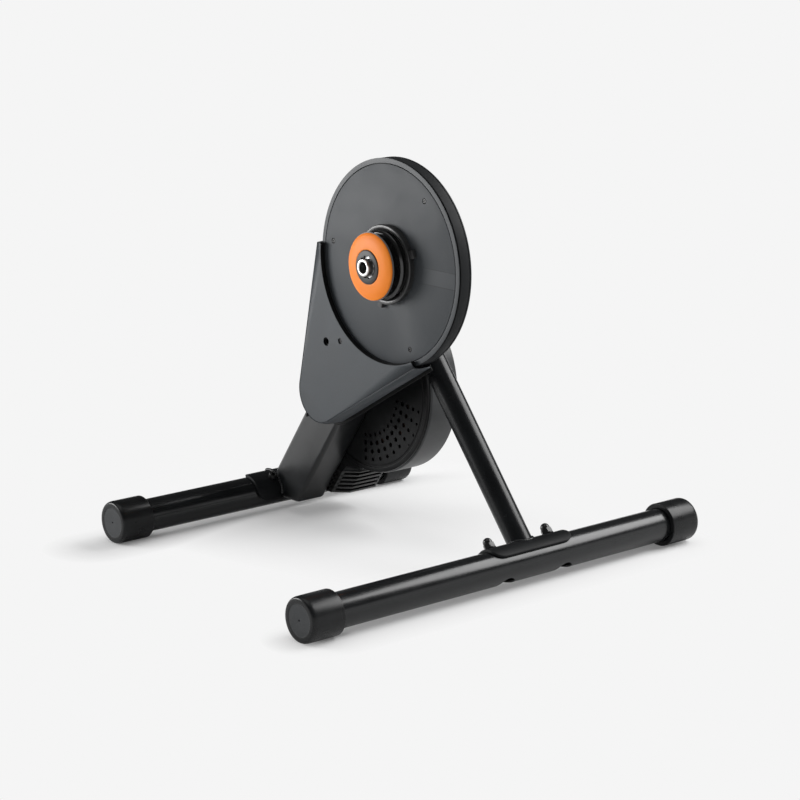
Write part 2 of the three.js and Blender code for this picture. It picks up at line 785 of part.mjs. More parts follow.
coverScrewPlaces.forEach(([x, z], k) => {
  const screw = turned([
    [0, pulleyFaceY],
    [coverScrewRadius, pulleyFaceY],
    [coverScrewRadius, pulleyFaceY + coverScrewHeadHeight - seatGap],
    [coverScrewShank, pulleyFaceY + coverScrewHeadHeight - seatGap],
    [coverScrewShank, webFaceY - 2 * seatGap],
    [0, webFaceY - 2 * seatGap],
  ], smallSides);
  place(`cover_screw_${k + 1}`, screw, paint.darkSteel, onAxle).position.set(x, 0, z);
});

// Raised ring on the cover, with the one-way clutch inside it
const clutchRadius = clutchHousingRadius - clutchHousingWall;
const clutchFrontY = pulleyFaceY - seatGap - clutchHousingHeight;
place('clutch_housing', turned([
  [clutchRadius + seatGap, pulleyFaceY - seatGap],
  [clutchRadius + seatGap, clutchFrontY + clutchHousingHeight / 2],
  [clutchHousingRadius - clutchHousingLip, clutchFrontY],
  [clutchHousingRadius - clutchHousingRound, clutchFrontY],
  [clutchHousingRadius, clutchFrontY + clutchHousingRound],
  [clutchHousingRadius, pulleyFaceY - seatGap],
], hubSides), paint.greyPlastic, onAxle);
place('one_way_clutch', turned([
  [clutchBore, clutchFrontY + seatGap],
  [clutchRadius, clutchFrontY + clutchHousingHeight / 2 - seatGap],
  [clutchRadius, pulleyFaceY - seatGap],
  [clutchBore, pulleyFaceY - seatGap],
]), paint.darkSteel, onAxle);

// Freehub body with its splines, and the collar that the clutch grips
const freehubStepY = innerFreehubBearingY + freehubBearing.width + seatGap;
function freehubBody() {
  const body = turned([
    [freehubBore, freehubFrontY],
    [freehubRadius, freehubFrontY],
    [freehubRadius, clutchFrontY],
    [freehubCollarRadius, clutchFrontY],
    [freehubCollarRadius, pulleyFaceY - seatGap],
    [freehubBore, pulleyFaceY - seatGap],
  ]);
  const lip = ring(spacerRadius + seatGap, freehubBore + seatGap, freehubStepY, pulleyFaceY - 2 * seatGap);
  const grooves = [];
  for (let k = 0; k < splineCount; k++) {
    const turn = k * Math.PI * 2 / splineCount;
    const width = Math.PI * freehubRadius / splineCount;
    const groove = block(
      freehubRadius - splineDepth, freehubRadius + cutOverrun,
      freehubFrontY - cutOverrun, innerGuardY + innerGuardThickness + seatGap,
      -width / 2, width / 2,
    );
    groove.rotateY(turn);
    grooves.push(groove);
  }
  return cut(join(body, lip), ...grooves);
}
place('freehub_body', freehubBody(), paint.darkSteel, onAxle);

// The cog's outline: a hollow for each roller and a tooth between each two
const cogPitchRadius = chainPitch / (2 * Math.sin(Math.PI / cogTeeth));
function cog() {
  const tip = cogPitchRadius + cogTipHeight;
  const root = cogPitchRadius - cogRootDepth;
  const shares = [[0, 0], [0.2, 0.2], [0.32, 0.85], [0.42, 1], [0.58, 1], [0.68, 0.85], [0.8, 0.2]];
  const points = [];
  for (let k = 0; k < cogTeeth; k++) {
    for (const [turnShare, heightShare] of shares) {
      const turn = (k + turnShare) * Math.PI * 2 / cogTeeth;
      const radius = root + (tip - root) * heightShare;
      points.push([radius * Math.cos(turn), radius * Math.sin(turn)]);
    }
  }
  const disc = slab(polygon(points), cogY - cogThickness, cogY);
  return cut(disc, rod(freehubRadius + seatGap, cogY - cogThickness - cutOverrun, cogY + cutOverrun));
}
place('cog', cog(), paint.steel, onAxle);

// The inner guard's hub reaches the cog, and the backing's hub reaches it from the other side
const guardBore = freehubRadius + seatGap;
place('inner_guard', turned([
  [guardBore, cogY + seatGap],
  [guardHubRadius, cogY + seatGap],
  [guardHubRadius, innerGuardY],
  [innerGuardRadius - innerGuardBevel, innerGuardY],
  [innerGuardRadius, innerGuardY + innerGuardBevelDepth],
  [innerGuardRadius, innerGuardY + innerGuardThickness],
  [guardBore, innerGuardY + innerGuardThickness],
], hubSides), paint.blackPlastic, onAxle);
const backingRadius = outerGuardRadius + backingReach;
const backingY = outerGuardRimY + outerGuardThickness - outerGuardRound;
const crownBackY = outerGuardCrownY + outerGuardThickness;
place('guard_backing', turned([
  [guardBore, cogY - cogThickness - seatGap],
  [guardBore, crownBackY + seatGap],
  [lockringRadius, crownBackY + seatGap],
  [outerGuardRadius - outerGuardRound, backingY],
  [backingRadius, backingY],
  [backingRadius, backingY + backingThickness],
  [guardHubRadius, backingY + backingThickness],
  [guardHubRadius, cogY - cogThickness - seatGap],
], hubSides), paint.greyPlastic, onAxle);
place('outer_guard', turned([
  [lockringRadius + seatGap, crownBackY],
  [lockringRadius + seatGap, outerGuardCrownY],
  [lockringRadius + seatGap + outerGuardRound, outerGuardCrownY],
  [outerGuardRadius - outerGuardRound, outerGuardRimY],
  [outerGuardRadius, outerGuardRimY + outerGuardRound],
  [outerGuardRadius, backingY - seatGap],
  [outerGuardRadius - outerGuardRound, backingY - seatGap],
], hubSides), paint.orange, onAxle);

function lockring() {
  const nearY = outerGuardCrownY - lockringDish;
  const farY = freehubFrontY - seatGap;
  const body = turned([
    [lockringBore, nearY + lockringDish],
    [lockringBore + lockringDish, nearY + lockringDish],
    [lockringRadius - lockringDish, nearY],
    [lockringRadius, nearY + lockringDish / 2],
    [lockringRadius, farY],
    [lockringBore, farY],
  ]);
  const notches = [];
  for (let k = 0; k < lockringNotches; k++) {
    const turn = k * Math.PI * 2 / lockringNotches;
    const notch = rod(lockringNotchRadius, nearY - cutOverrun, farY + cutOverrun, 8);
    notch.translate(lockringBore * Math.cos(turn), 0, lockringBore * Math.sin(turn));
    notches.push(notch);
  }
  return cut(body, ...notches);
}
place('lockring', lockring(), paint.darkSteel, onAxle);

// Belt round both pulleys: straight where the two circles' common tangents run
const shaftFromAxle = new THREE.Vector2(shaftX - axleX, shaftHeight - axleHeight);
const centreDistance = shaftFromAxle.length();
const centreTurn = shaftFromAxle.angle();

// The outline round a big circle on the axle and a small one on the shaft
function wrapped(bigRadius, smallRadius, steps) {
  const half = Math.acos((bigRadius - smallRadius) / centreDistance);
  const bigArc = arcPoints(
    axleX, axleHeight, bigRadius, centreTurn + half, centreTurn - half + Math.PI * 2, steps,
  );
  const smallArc = arcPoints(shaftX, shaftHeight, smallRadius, centreTurn - half, centreTurn + half, steps / 3);
  return [...bigArc, ...smallArc];
}
const beltNearY = (pulleyFaceY + flangeThickness + flangeBackY - beltWidth) / 2;
const beltFarY = beltNearY + beltWidth;
const beltInner = seatGap;
const beltOuter = seatGap + beltThickness;
place('drive_belt', cut(
  slab(polygon(wrapped(beltSeatRadius + beltOuter, smallPulleySeat + beltOuter, beltSteps)), beltNearY, beltFarY),
  slab(
    polygon(wrapped(beltSeatRadius + beltInner, smallPulleySeat + beltInner, beltSteps)),
    beltNearY - cutOverrun, beltFarY + cutOverrun,
  ),
), paint.rubber);

// Flywheel shaft in its housing, with the small pulley and nut on one end and the flywheel on the other
const smallNearY = beltNearY - flangeThickness - seatGap;
const smallFarY = beltFarY + flangeThickness / 2 + seatGap;
const flywheelFarY = flywheelNearY + flywheelWidth;
const hubNearY = flywheelFarY - flywheelDish - flywheelHubLength;
const shaftNearY = smallNearY - pulleyNutHeight;
place('flywheel_shaft', turned([
  [0, shaftNearY], [shaftThreadRadius, shaftNearY], [shaftThreadRadius, smallNearY + flangeThickness],
  [shaftRadius, smallNearY + flangeThickness], [shaftRadius, flywheelFarY - flywheelDish],
  [0, flywheelFarY - flywheelDish],
], roundSides), paint.steel, onShaft);
place('small_pulley', turned([
  [shaftThreadRadius + seatGap, smallNearY],
  [smallPulleyFlange, smallNearY],
  [smallPulleyFlange, smallNearY + flangeThickness],
  [smallPulleySeat, smallNearY + flangeThickness],
  [smallPulleySeat, beltFarY + seatGap],
  [smallPulleyFlange, beltFarY + seatGap],
  [smallPulleyFlange, smallFarY],
  [shaftRadius + seatGap, smallFarY],
  [shaftRadius + seatGap, smallNearY + flangeThickness - seatGap],
  [shaftThreadRadius + seatGap, smallNearY + flangeThickness - seatGap],
]), paint.darkSteel, onShaft);
place('pulley_nut', cut(
  slab(hexagon(pulleyNutAcrossFlats), smallNearY - pulleyNutHeight, smallNearY - seatGap),
  rod(shaftThreadRadius + seatGap, shaftNearY - cutOverrun, smallNearY + cutOverrun),
), paint.darkSteel, onShaft);
place('shaft_housing', turned([
  [shaftBearing.outer + seatGap, beamDriveY],
  [housingRadius, beamDriveY],
  [housingRadius, beamLeftY],
  [shaftBearing.outer + seatGap, beamLeftY],
  [shaftBearing.outer + seatGap, beamLeftY - shaftBearing.width - seatGap],
  [shaftBearing.outer - beamWall, beamLeftY - shaftBearing.width - seatGap],
  [shaftBearing.outer - beamWall, beamDriveY + shaftBearing.width + seatGap],
  [shaftBearing.outer + seatGap, beamDriveY + shaftBearing.width + seatGap],
]), paint.satinBlack, onShaft);
place('shaft_bearing_drive', bearing(shaftBearing, beamDriveY), paint.steel, onShaft);
place('shaft_bearing_left', bearing(shaftBearing, beamLeftY - shaftBearing.width), paint.steel, onShaft);

// Flywheel: a drum open towards the beam, with the magnets inside its rim
const rimBore = flywheelRadius - flywheelRim;
const webNearY = flywheelFarY - flywheelDish - flywheelWeb;
place('flywheel', turned([
  [shaftRadius + seatGap, hubNearY],
  [flywheelHubRadius, hubNearY],
  [flywheelHubRadius, webNearY],
  [rimBore, webNearY],
  [rimBore, flywheelNearY],
  [flywheelRadius - flywheelEdge, flywheelNearY],
  [flywheelRadius, flywheelNearY + flywheelEdge],
  [flywheelRadius, flywheelFarY - flywheelEdge],
  [flywheelRadius - flywheelEdge, flywheelFarY],
  [rimBore, flywheelFarY],
  [rimBore - flywheelDish, flywheelFarY - flywheelDish],
  [shaftRadius + seatGap, flywheelFarY - flywheelDish],
], fineSides), paint.flywheelPaint, onShaft);
const magnetRadius = rimBore - seatGap;
place('magnet_ring', ring(
  magnetRadius - magnetThickness, magnetRadius, webNearY - seatGap - magnetWidth, webNearY - seatGap, fineSides,
), paint.magnet, onShaft);

const coverNearY = beamLeftY + seatGap;
const coverPlateFarY = coverNearY + brakeCoverPlate;

// Stator: a core with poles that end just inside the magnets, a wound coil on each pole
const statorNearY = webNearY - seatGap - (magnetWidth + statorThickness) / 2;
const poleTip = magnetRadius - magnetThickness - airGap;
const statorCoreRadius = poleTip - statorPoleReach;
function stator() {
  const sides = statorPoles * 2;
  let core = ring(statorCoreBore, statorCoreRadius, statorNearY, statorNearY + statorThickness, sides);
  for (let k = 0; k < statorPoles; k++) {
    const turn = k * Math.PI * 2 / statorPoles;
    const half = statorPoleWidth / 2;
    const pole = block(
      statorCoreRadius - statorPoleHeight / 2, poleTip - cutOverrun,
      statorNearY + seatGap, statorNearY + statorThickness - seatGap, -half, half,
    );
    const coil = block(
      statorCoreRadius + coilBulge, statorCoreRadius + coilBulge + coilDepth,
      statorNearY - coilBulge, statorNearY + statorThickness + coilBulge,
      -half - coilBulge / 2, half + coilBulge / 2,
    );
    pole.rotateY(turn);
    coil.rotateY(turn);
    core = join(core, pole, coil);
  }
  const feet = ring(
    statorCoreRadius - statorPoleHeight, statorCoreRadius - statorPoleHeight / 2,
    coverPlateFarY + seatGap, statorNearY + seatGap, sides,
  );
  return join(core, feet);
}
place('stator', stator(), paint.copper, onShaft);

// Brake cover: a perforated plate with a raised ring, between the beam and the flywheel
function brakeCover() {
  const ringBore = brakeCoverRadius - brakeCoverRing;
  const grooveBore = ringBore - brakeGrooveWidth;
  const plate = turned([
    [shaftRadius + shaftPlay, coverNearY],
    [grooveBore, coverNearY],
    [grooveBore, coverNearY + brakeGrooveDepth],
    [ringBore, coverNearY + brakeGrooveDepth],
    [ringBore, coverNearY],
    [brakeCoverRadius, coverNearY],
    [brakeCoverRadius, coverNearY + brakeCoverDepth],
    [grooveBore, coverNearY + brakeCoverDepth],
    [grooveBore, coverPlateFarY],
    [shaftRadius + shaftPlay, coverPlateFarY],
  ], fineSides);
  const vents = [];
  for (let spoke = 0; spoke < ventSpokes; spoke++) {
    const turn = ventFirstTurn + ventSpokeStep * spoke;
    ventRadii.forEach((ventRadius, k) => {
      const radius = brakeCoverRadius * (ventFirstShare + ventStepShare * k);
      const vent = rod(ventRadius, coverNearY - cutOverrun, coverPlateFarY + cutOverrun, ventSides);
      vent.translate(
        radius * Math.cos(turn) - brakeCoverRadius * ventBackShare, 0,
        radius * Math.sin(turn) - brakeCoverRadius * ventDropShare,
      );
      vents.push(vent);
    });
  }
  return cut(plate, ...vents);
}
place('brake_cover', brakeCover(), paint.blackPlastic, onShaft);

// Belt guard: a shell over the belt's lower runs and the small pulley, open where the pulley turns
const guardCornerX = shaftX - guardCornerBack;
const guardCornerZ = shaftHeight - guardCornerDrop;
const guardMouthRadius = coverRadius + guardMouthGap;
const guardReach = pulleyRadius * 2;
const cornerFromAxle = new THREE.Vector2(guardCornerX - axleX, guardCornerZ - axleHeight);

// Two straight sides at their own distances from the axle, joined by an arc round the lower corner
function guardOutline(margin) {
  const distance = cornerFromAxle.length();
  const turn = cornerFromAxle.angle();
  const corner = guardCornerRadius + margin;
  const left = pulleyRadius + guardLeftRoom + margin;
  const right = pulleyRadius + guardRightRoom + margin;
  const leftTurn = turn - Math.acos((left - corner) / distance);
  const rightTurn = turn + Math.acos((right - corner) / distance);
  return polygon([
    aroundAxle(left, leftTurn),
    ...arcPoints(guardCornerX, guardCornerZ, corner, leftTurn, rightTurn, 12),
    aroundAxle(right, rightTurn),
    [axleX, axleHeight],
  ]);
}

// What is left outside the mouth, below the tip and before the right end
function guardTrim(geometry, mouthRadius) {
  const lowY = guardFaceY - cutOverrun;
  const highY = guardBackY + backplateThickness + cutOverrun;
  const mouth = rod(mouthRadius, lowY, highY, fineSides * 2);
  mouth.translate(axleX, 0, axleHeight);
  const tipZ = axleHeight + guardTipRise;
  const above = block(axleX - guardReach, axleX + guardReach, lowY, highY, tipZ, tipZ + guardReach);
  const [endX, endZ] = aroundAxle(pulleyRadius + guardEndRoom, guardEndPlace);
  const endRun = Math.cos(guardEndTurn) * guardReach;
  const endFall = Math.sin(guardEndTurn) * guardReach;
  const beyond = slab(polygon([
    [endX - endRun, endZ - endFall],
    [endX + endRun, endZ + endFall],
    [endX + guardReach, endZ + endFall],
    [endX + guardReach, endZ - endFall],
  ]), lowY, highY);
  return cut(geometry, mouth, above, beyond);
}

function guardSkin(margin, faceY, backY) {
  const long = slab(guardOutline(margin + guardBevel), faceY, backY + guardBevelDepth, guardBevel, guardBevelDepth, 2);
  return cut(long, block(
    axleX - guardReach, axleX + guardReach, backY, backY + guardReach, 0, axleHeight + guardReach,
  ));
}

const [powerHoleX, powerHoleZ] = aroundAxle(pulleyRadius + powerHoleOut, powerHolePlace);
const [lightHoleX, lightHoleZ] = aroundAxle(pulleyRadius + lightHoleOut, lightHolePlace);

function beltGuard() {
  const outside = guardSkin(0, guardFaceY, guardBackY);
  const inside = guardSkin(-guardWall, guardFaceY + guardFaceThickness, guardBackY + cutOverrun);
  const wall = guardTrim(cut(outside, inside), guardMouthRadius);
  const lip = ring(
    guardMouthRadius, guardMouthRadius + guardFaceThickness,
    guardFaceY + guardFaceThickness - seatGap, guardLipY, fineSides * 2,
  );
  lip.translate(axleX, 0, axleHeight);
  const lipKept = overlap(
    guardTrim(lip, guardMouthRadius - seatGap), slab(guardOutline(seatGap - guardWall), guardFaceY, guardBackY),
  );
  const lowY = guardFaceY - cutOverrun;
  const highY = guardFaceY + guardFaceThickness + cutOverrun;
  const powerHole = rod(powerHoleRadius, lowY, highY, smallSides);
  powerHole.translate(powerHoleX, 0, powerHoleZ);
  const lightHole = rod(lightHoleRadius, lowY, highY, smallSides);
  lightHole.translate(lightHoleX, 0, lightHoleZ);
  return cut(join(wall, lipKept), powerHole, lightHole);
}
place('belt_guard', beltGuard(), paint.guardGrey);

function guardBackplate() {
  const nearY = guardBackY + seatGap;
  const plate = slab(guardOutline(guardBevel + backplateMargin), nearY, nearY + backplateThickness);
  const trimmed = guardTrim(plate, pulleyRadius + pulleyRoom);
  const shaftHole = rod(housingRadius, guardFaceY, beamLeftY);
  shaftHole.translate(shaftX, 0, shaftHeight);
  return cut(trimmed, shaftHole);
}
place('guard_backplate', guardBackplate(), paint.satinBlack);

// Power socket and status light behind their holes, on a small board
const socketNearY = guardFaceY + guardFaceThickness + seatGap;
const ioBoardY = socketNearY + socketLength + seatGap;
const powerSocket = turned([
  [socketBore, socketNearY], [socketRadius, socketNearY], [socketRadius, socketNearY + socketLength],
  [0, socketNearY + socketLength], [0, socketNearY + socketDepth - socketPinLength],
  [socketPinRadius, socketNearY + socketDepth - socketPinLength],
  [socketPinRadius, socketNearY + socketDepth], [socketBore, socketNearY + socketDepth],
], smallSides);
place('power_socket', powerSocket, paint.blackPlastic).position.set(powerHoleX, 0, powerHoleZ);
const statusLight = turned([
  [0, guardFaceY + lightRimThickness], [lightHoleRadius - seatGap, guardFaceY + lightRimThickness],
  [lightHoleRadius - seatGap, socketNearY], [lightHoleRadius + lightRimThickness, socketNearY],
  [lightHoleRadius + lightRimThickness, socketNearY + socketLength], [0, socketNearY + socketLength],
], smallSides);
place('status_light', statusLight, paint.blackPlastic).position.set(lightHoleX, 0, lightHoleZ);
const ioBoardX = (powerHoleX + lightHoleX) / 2;
const ioBoardZ = (powerHoleZ + lightHoleZ) / 2 - ioBoardHeight / 4;
const ioBoardFarY = ioBoardY + boardThickness;
const bigRoom = rod(pulleyRadius + pulleyRoom, ioBoardY - cutOverrun, ioBoardFarY + cutOverrun, fineSides);
const smallRoom = rod(smallPulleyFlange + pulleyRoom, ioBoardY - cutOverrun, ioBoardFarY + cutOverrun, fineSides);
bigRoom.translate(axleX, 0, axleHeight);
smallRoom.translate(shaftX, 0, shaftHeight);
place('io_board', cut(block(
  ioBoardX - ioBoardWidth / 2, ioBoardX + ioBoardWidth / 2, ioBoardY, ioBoardFarY,
  ioBoardZ - ioBoardHeight / 2, ioBoardZ + ioBoardHeight / 2,
), bigRoom, smallRoom), paint.board);

// Lower housing: a prism along the beam, cut level above and below, with louvres across its front
const housingNearY = beamLeftY + seatGap;

function housingPrism(inset, lowZ, highZ) {
  const nearY = housingNearY + inset;
  const farY = housingFarY - inset;
  const bend = inset * Math.tan(Math.PI / 8);
  const plan = new THREE.Shape([
    new THREE.Vector2(housingBackOut + inset, nearY),
    new THREE.Vector2(housingNearOut - bend, nearY),
    new THREE.Vector2(housingFrontOut - inset, housingFoldY + bend),
    new THREE.Vector2(housingFrontOut - inset, farY),
    new THREE.Vector2(housingBackOut + inset, farY),
  ]);
  const geometry = new THREE.ExtrudeGeometry(plan, { depth: barSpacing * 2, bevelEnabled: false });
  geometry.applyMatrix4(new THREE.Matrix4().makeBasis(
    new THREE.Vector3(outward.x, 0, outward.y), new THREE.Vector3(0, 1, 0),
    new THREE.Vector3(-along.x, 0, -along.y),
  ).setPosition(axleX, 0, axleHeight));
  const level = block(-barSpacing, barSpacing, nearY - cutOverrun, farY + cutOverrun, lowZ, highZ);
  return overlap(geometry, level);
}

function lowerHousing() {
  const box = housingPrism(0, housingBottom, housingTop);
  const room = housingPrism(housingWall, housingBottom + housingWall, housingTop - housingWall);
  const skin = housingPrism(slatDepth, housingBottom - cutOverrun, housingTop + cutOverrun);
  const inFront = slab(polygon([
    beamPoint(beamFront, -barSpacing * 2), beamPoint(barSpacing, -barSpacing * 2),
    beamPoint(barSpacing, 0), beamPoint(beamFront, 0),
  ]), housingNearY + slatMargin, housingFarY - slatMargin);
  const grooves = [];
  for (let k = 0; k < slatCount; k++) {
    const z = housingTop - housingHeight * (firstSlatShare + slatStepShare * k);
    const half = housingHeight * slatGapShare / 2;
    const band = cut(housingPrism(-cutOverrun, z - half, z + half), skin);
    grooves.push(overlap(band, inFront));
  }
  return cut(box, room, ...grooves, cableHole(housingNearY - cutOverrun, housingNearY + housingWall + cutOverrun));
}
place('lower_housing', lowerHousing(), paint.blackPlastic);
const boardZ = housingBottom + housingWall + seatGap;
place('circuit_board', housingPrism(housingWall + mainBoardMargin, boardZ, boardZ + boardThickness), paint.board);

export default trainer;
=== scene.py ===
import math

import bpy
import bmesh
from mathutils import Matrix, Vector


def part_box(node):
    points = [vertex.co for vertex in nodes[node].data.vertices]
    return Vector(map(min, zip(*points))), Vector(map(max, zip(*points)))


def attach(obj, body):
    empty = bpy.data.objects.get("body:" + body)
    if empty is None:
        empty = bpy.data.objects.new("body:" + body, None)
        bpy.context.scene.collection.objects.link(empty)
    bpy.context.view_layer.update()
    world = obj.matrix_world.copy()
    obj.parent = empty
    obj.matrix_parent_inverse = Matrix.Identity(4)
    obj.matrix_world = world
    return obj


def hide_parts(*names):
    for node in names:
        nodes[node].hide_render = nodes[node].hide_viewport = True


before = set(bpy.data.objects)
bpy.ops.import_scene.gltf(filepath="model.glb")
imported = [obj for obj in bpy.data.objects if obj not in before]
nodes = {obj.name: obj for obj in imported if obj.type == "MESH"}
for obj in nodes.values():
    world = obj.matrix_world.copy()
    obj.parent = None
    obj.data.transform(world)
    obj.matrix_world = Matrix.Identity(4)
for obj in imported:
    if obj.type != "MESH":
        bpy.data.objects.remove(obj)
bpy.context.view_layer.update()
print("frame loaded:", len(nodes), "nodes")

mm = 0.001
fullTurn = 2 * math.pi
quarterTurn = math.pi / 2


# Some values of a plan, in the order they are asked for
def picked(plan, names):
    return [plan[name] for name in names.split()]


# The middle of a CAD node in the XZ plane, in millimetres
def centreOf(node):
    low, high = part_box(node)
    return (low.x + high.x) / 2 / mm, (low.z + high.z) / 2 / mm


axleAt, shaftAt = centreOf("axle"), centreOf("flywheel")
frontBarAt, rearBarAt = centreOf("front_bar"), centreOf("rear_bar")

# Camera: the photograph's viewing angle
view = dict(turn=49.592, rise=13.514, lens=106.32, sensor=36, place=(1.992329, -1.669056, 0.795861))


def addObject(name, data):
    made = bpy.data.objects.new(name, data)
    bpy.context.scene.collection.objects.link(made)
    return made


# A camera or lamp put at a place and turned to look along a direction
def aim(thing, place, way):
    thing.location = place
    thing.rotation_mode = "QUATERNION"
    thing.rotation_quaternion = way.to_track_quat("-Z", "Y")


def makeCamera():
    camera = addObject("camera", bpy.data.cameras.new("camera"))
    turn, rise = math.radians(view["turn"]), math.radians(view["rise"])
    look = Vector((-math.sin(turn) * math.cos(rise), math.cos(turn) * math.cos(rise), -math.sin(rise)))
    aim(camera, view["place"], look)
    camera.data.lens = view["lens"]
    camera.data.sensor_width = view["sensor"]
    camera.data.clip_end = 100
    bpy.context.scene.camera = camera


makeCamera()


# Shader tools: a socket gets a link or a plain value
def plug(tree, socket, value):
    if isinstance(value, Wire):
        tree.links.new(value.socket, socket)
    else:
        socket.default_value = value


# A socket that takes part in expressions
class Wire:
    def __init__(self, tree, socket):
        self.tree, self.socket = tree, socket

    def maths(self, operation, left, right):
        node = self.tree.nodes.new("ShaderNodeMath")
        node.operation = operation
        plug(self.tree, node.inputs[0], left)
        plug(self.tree, node.inputs[1], right)
        return Wire(self.tree, node.outputs[0])

    def __add__(self, other):
        return self.maths("ADD", self, other)

    def __radd__(self, other):
        return self.maths("ADD", other, self)

    def __sub__(self, other):
        return self.maths("SUBTRACT", self, other)

    def __rsub__(self, other):
        return self.maths("SUBTRACT", other, self)

    def __mul__(self, other):
        return self.maths("MULTIPLY", self, other)

    def __rmul__(self, other):
        return self.maths("MULTIPLY", other, self)


# The nodes of one tree: a new material's, or the tree that is given
class Finish:
    def __init__(self, name, tree=None):
        if tree:
            self.tree = tree
            return
        self.material = bpy.data.materials.new(name)
        self.material.use_nodes = True
        self.tree = self.material.node_tree
        self.shader = self.tree.nodes["Principled BSDF"]

    def node(self, kind, settings=None, sockets=None, out=0):
        made = self.tree.nodes.new(kind)
        for key, value in (settings or {}).items():
            setattr(made, key, value)
        for key, value in (sockets or {}).items():
            plug(self.tree, made.inputs[key], value)
        return Wire(self.tree, made.outputs[out])

    def place(self):
        return self.node("ShaderNodeTexCoord", out=3)

    def axis(self, which):
        return self.node("ShaderNodeSeparateXYZ", {}, {0: self.place()}, out="XYZ".index(which))

    def noise(self, scale, detail=2.0):
        return self.node("ShaderNodeTexNoise", {}, {"Vector": self.place(), "Scale": scale, "Detail": detail})

    def lines(self, along, scale, detail=2.0):
        return self.node("ShaderNodeTexNoise", {"noise_dimensions": "1D"}, {
            "W": along, "Scale": scale, "Detail": detail})

    def span(self, value, low, high):
        return self.node("ShaderNodeMapRange", {"clamp": True}, {0: value, 1: low, 2: high, 3: 0.0, 4: 1.0})

    def between(self, value, low, high, soft=0.0004):
        return self.span(value, low, low + soft) * (1 - self.span(value, high, high + soft))

    def mix(self, share, first, second):
        return self.node("ShaderNodeMix", {"data_type": "RGBA"}, {0: share, 6: first, 7: second}, out=2)

    def blend(self, share, first, second):
        return self.node("ShaderNodeMixShader", {}, {0: share, 1: first, 2: second})

    def count(self, operation, *values, clamp=False):
        return self.node("ShaderNodeMath", {"operation": operation, "use_clamp": clamp}, dict(enumerate(values)))

    def vector(self, operation, *values, out=0):
        return self.node("ShaderNodeVectorMath", {"operation": operation}, dict(enumerate(values)), out)

    def bump(self, height, strength, distance, under=None):
        sockets = {"Height": height, "Strength": strength, "Distance": distance}
        if under:
            sockets["Normal"] = under
        return self.node("ShaderNodeBump", {}, sockets)

    # Distance from an axis along Y through a centre given in millimetres
    def radius(self, centre):
        where = self.vector("SUBTRACT", self.place(), (centre[0] * mm, 0, centre[1] * mm))
        return self.vector("LENGTH", self.vector("MULTIPLY", where, (1, 0, 1)), out=1)

    def feed(self, **sockets):
        for key, value in sockets.items():
            plug(self.tree, self.shader.inputs[key.replace("_", " ")], value)
        return self.material


def grey(level, cool=0.0):
    return (level * (1 - cool), level, level * (1 + cool), 1)


def shades(low, high, cool=0.0):
    return dict(dark=grey(low, cool), light=grey(high, cool))


# Painted or moulded: soft patches of two close shades, a fine grain over slow waves, worn edges and a little dust
def surface(name, dark, light, rough=(0.45, 0.55), grain=900, grainDepth=0.00004, grainStrength=0.25,
            patch=35, metal=0.0, specular=0.5, edge=0.5, wave=0.0, dust=0.0):
    finish = Finish(name)
    patches, fine = finish.noise(patch, 3), finish.noise(grain)
    colour = finish.mix(finish.span(patches, 0.35, 0.65), dark, light)
    worn = finish.span(finish.node("ShaderNodeNewGeometry", out=7), 0.515, 0.6) * finish.span(fine, 0.3, 0.7)
    colour = finish.mix(worn * edge, colour, tuple(min(1, c * 2.2) for c in light[:3]) + (1,))
    if dust:
        specks = finish.node("ShaderNodeTexVoronoi", {}, {"Vector": finish.place(), "Scale": 260.0, "Randomness": 1.0})
        thin = (1 - finish.span(specks, 0.03, 0.07)) * finish.span(finish.noise(24), 0.5, 0.62)
        colour = finish.mix(thin * dust, colour, grey(0.3))
    roughness = finish.span(patches, 0.3, 0.7) * (rough[1] - rough[0]) + rough[0]
    normal = finish.bump(fine, grainStrength, grainDepth)
    if wave:
        normal = finish.bump(finish.noise(90, 1), wave, 0.0004, normal)
    return finish.feed(
        Base_Color=colour, Roughness=roughness, Metallic=metal, Specular_IOR_Level=specular, Normal=normal)


# Turned metal: fine rings round the Y axis through a centre
def turnedMetal(name, dark, light, centre=axleAt, rough=(0.22, 0.36), metal=1.0):
    finish = Finish(name)
    rings = finish.lines(finish.radius(centre) + finish.axis("Y"), 900, 3.0)
    colour = finish.mix(finish.span(rings, 0.35, 0.65), dark, light)
    roughness = finish.noise(60, 3) * (rough[1] - rough[0]) + rough[0]
    return finish.feed(
        Base_Color=colour, Roughness=roughness, Metallic=metal, Normal=finish.bump(rings, 0.3, 0.00002))


# The pulley's cover: fine moulded grain, faint rings, and a plain band a shade lighter from the hub to the edge
coverTrim = dict(band=(0.3216, 0.3384), lineLow=0.3206, lineHigh=0.3392, fade=(0.086, 0.118))


def coverFinish():
    finish = Finish("coverGrey")
    patches = finish.span(finish.noise(28, 3), 0.3, 0.7)
    rings = finish.lines(finish.radius(axleAt), 500.0)
    high, (bandLow, bandHigh) = finish.axis("Z"), coverTrim["band"]
    reach = finish.span(finish.axis("X"), *coverTrim["fade"])
    band = finish.between(high, bandLow, bandHigh) * reach
    line = (finish.between(high, coverTrim["lineLow"], bandLow)
            + finish.between(high, bandHigh, coverTrim["lineHigh"])) * reach
    colour = finish.mix(patches, grey(0.041, 0.12), grey(0.046, 0.12))
    colour = finish.mix(line, finish.mix(band, colour, grey(0.053, 0.1)), grey(0.030, 0.1))
    return finish.feed(
        Base_Color=colour, Roughness=patches * 0.06 + 0.52 - band * 0.06, Specular_IOR_Level=0.35,
        Normal=finish.bump(finish.noise(1500) + rings * 0.3, 0.3, 0.00004))


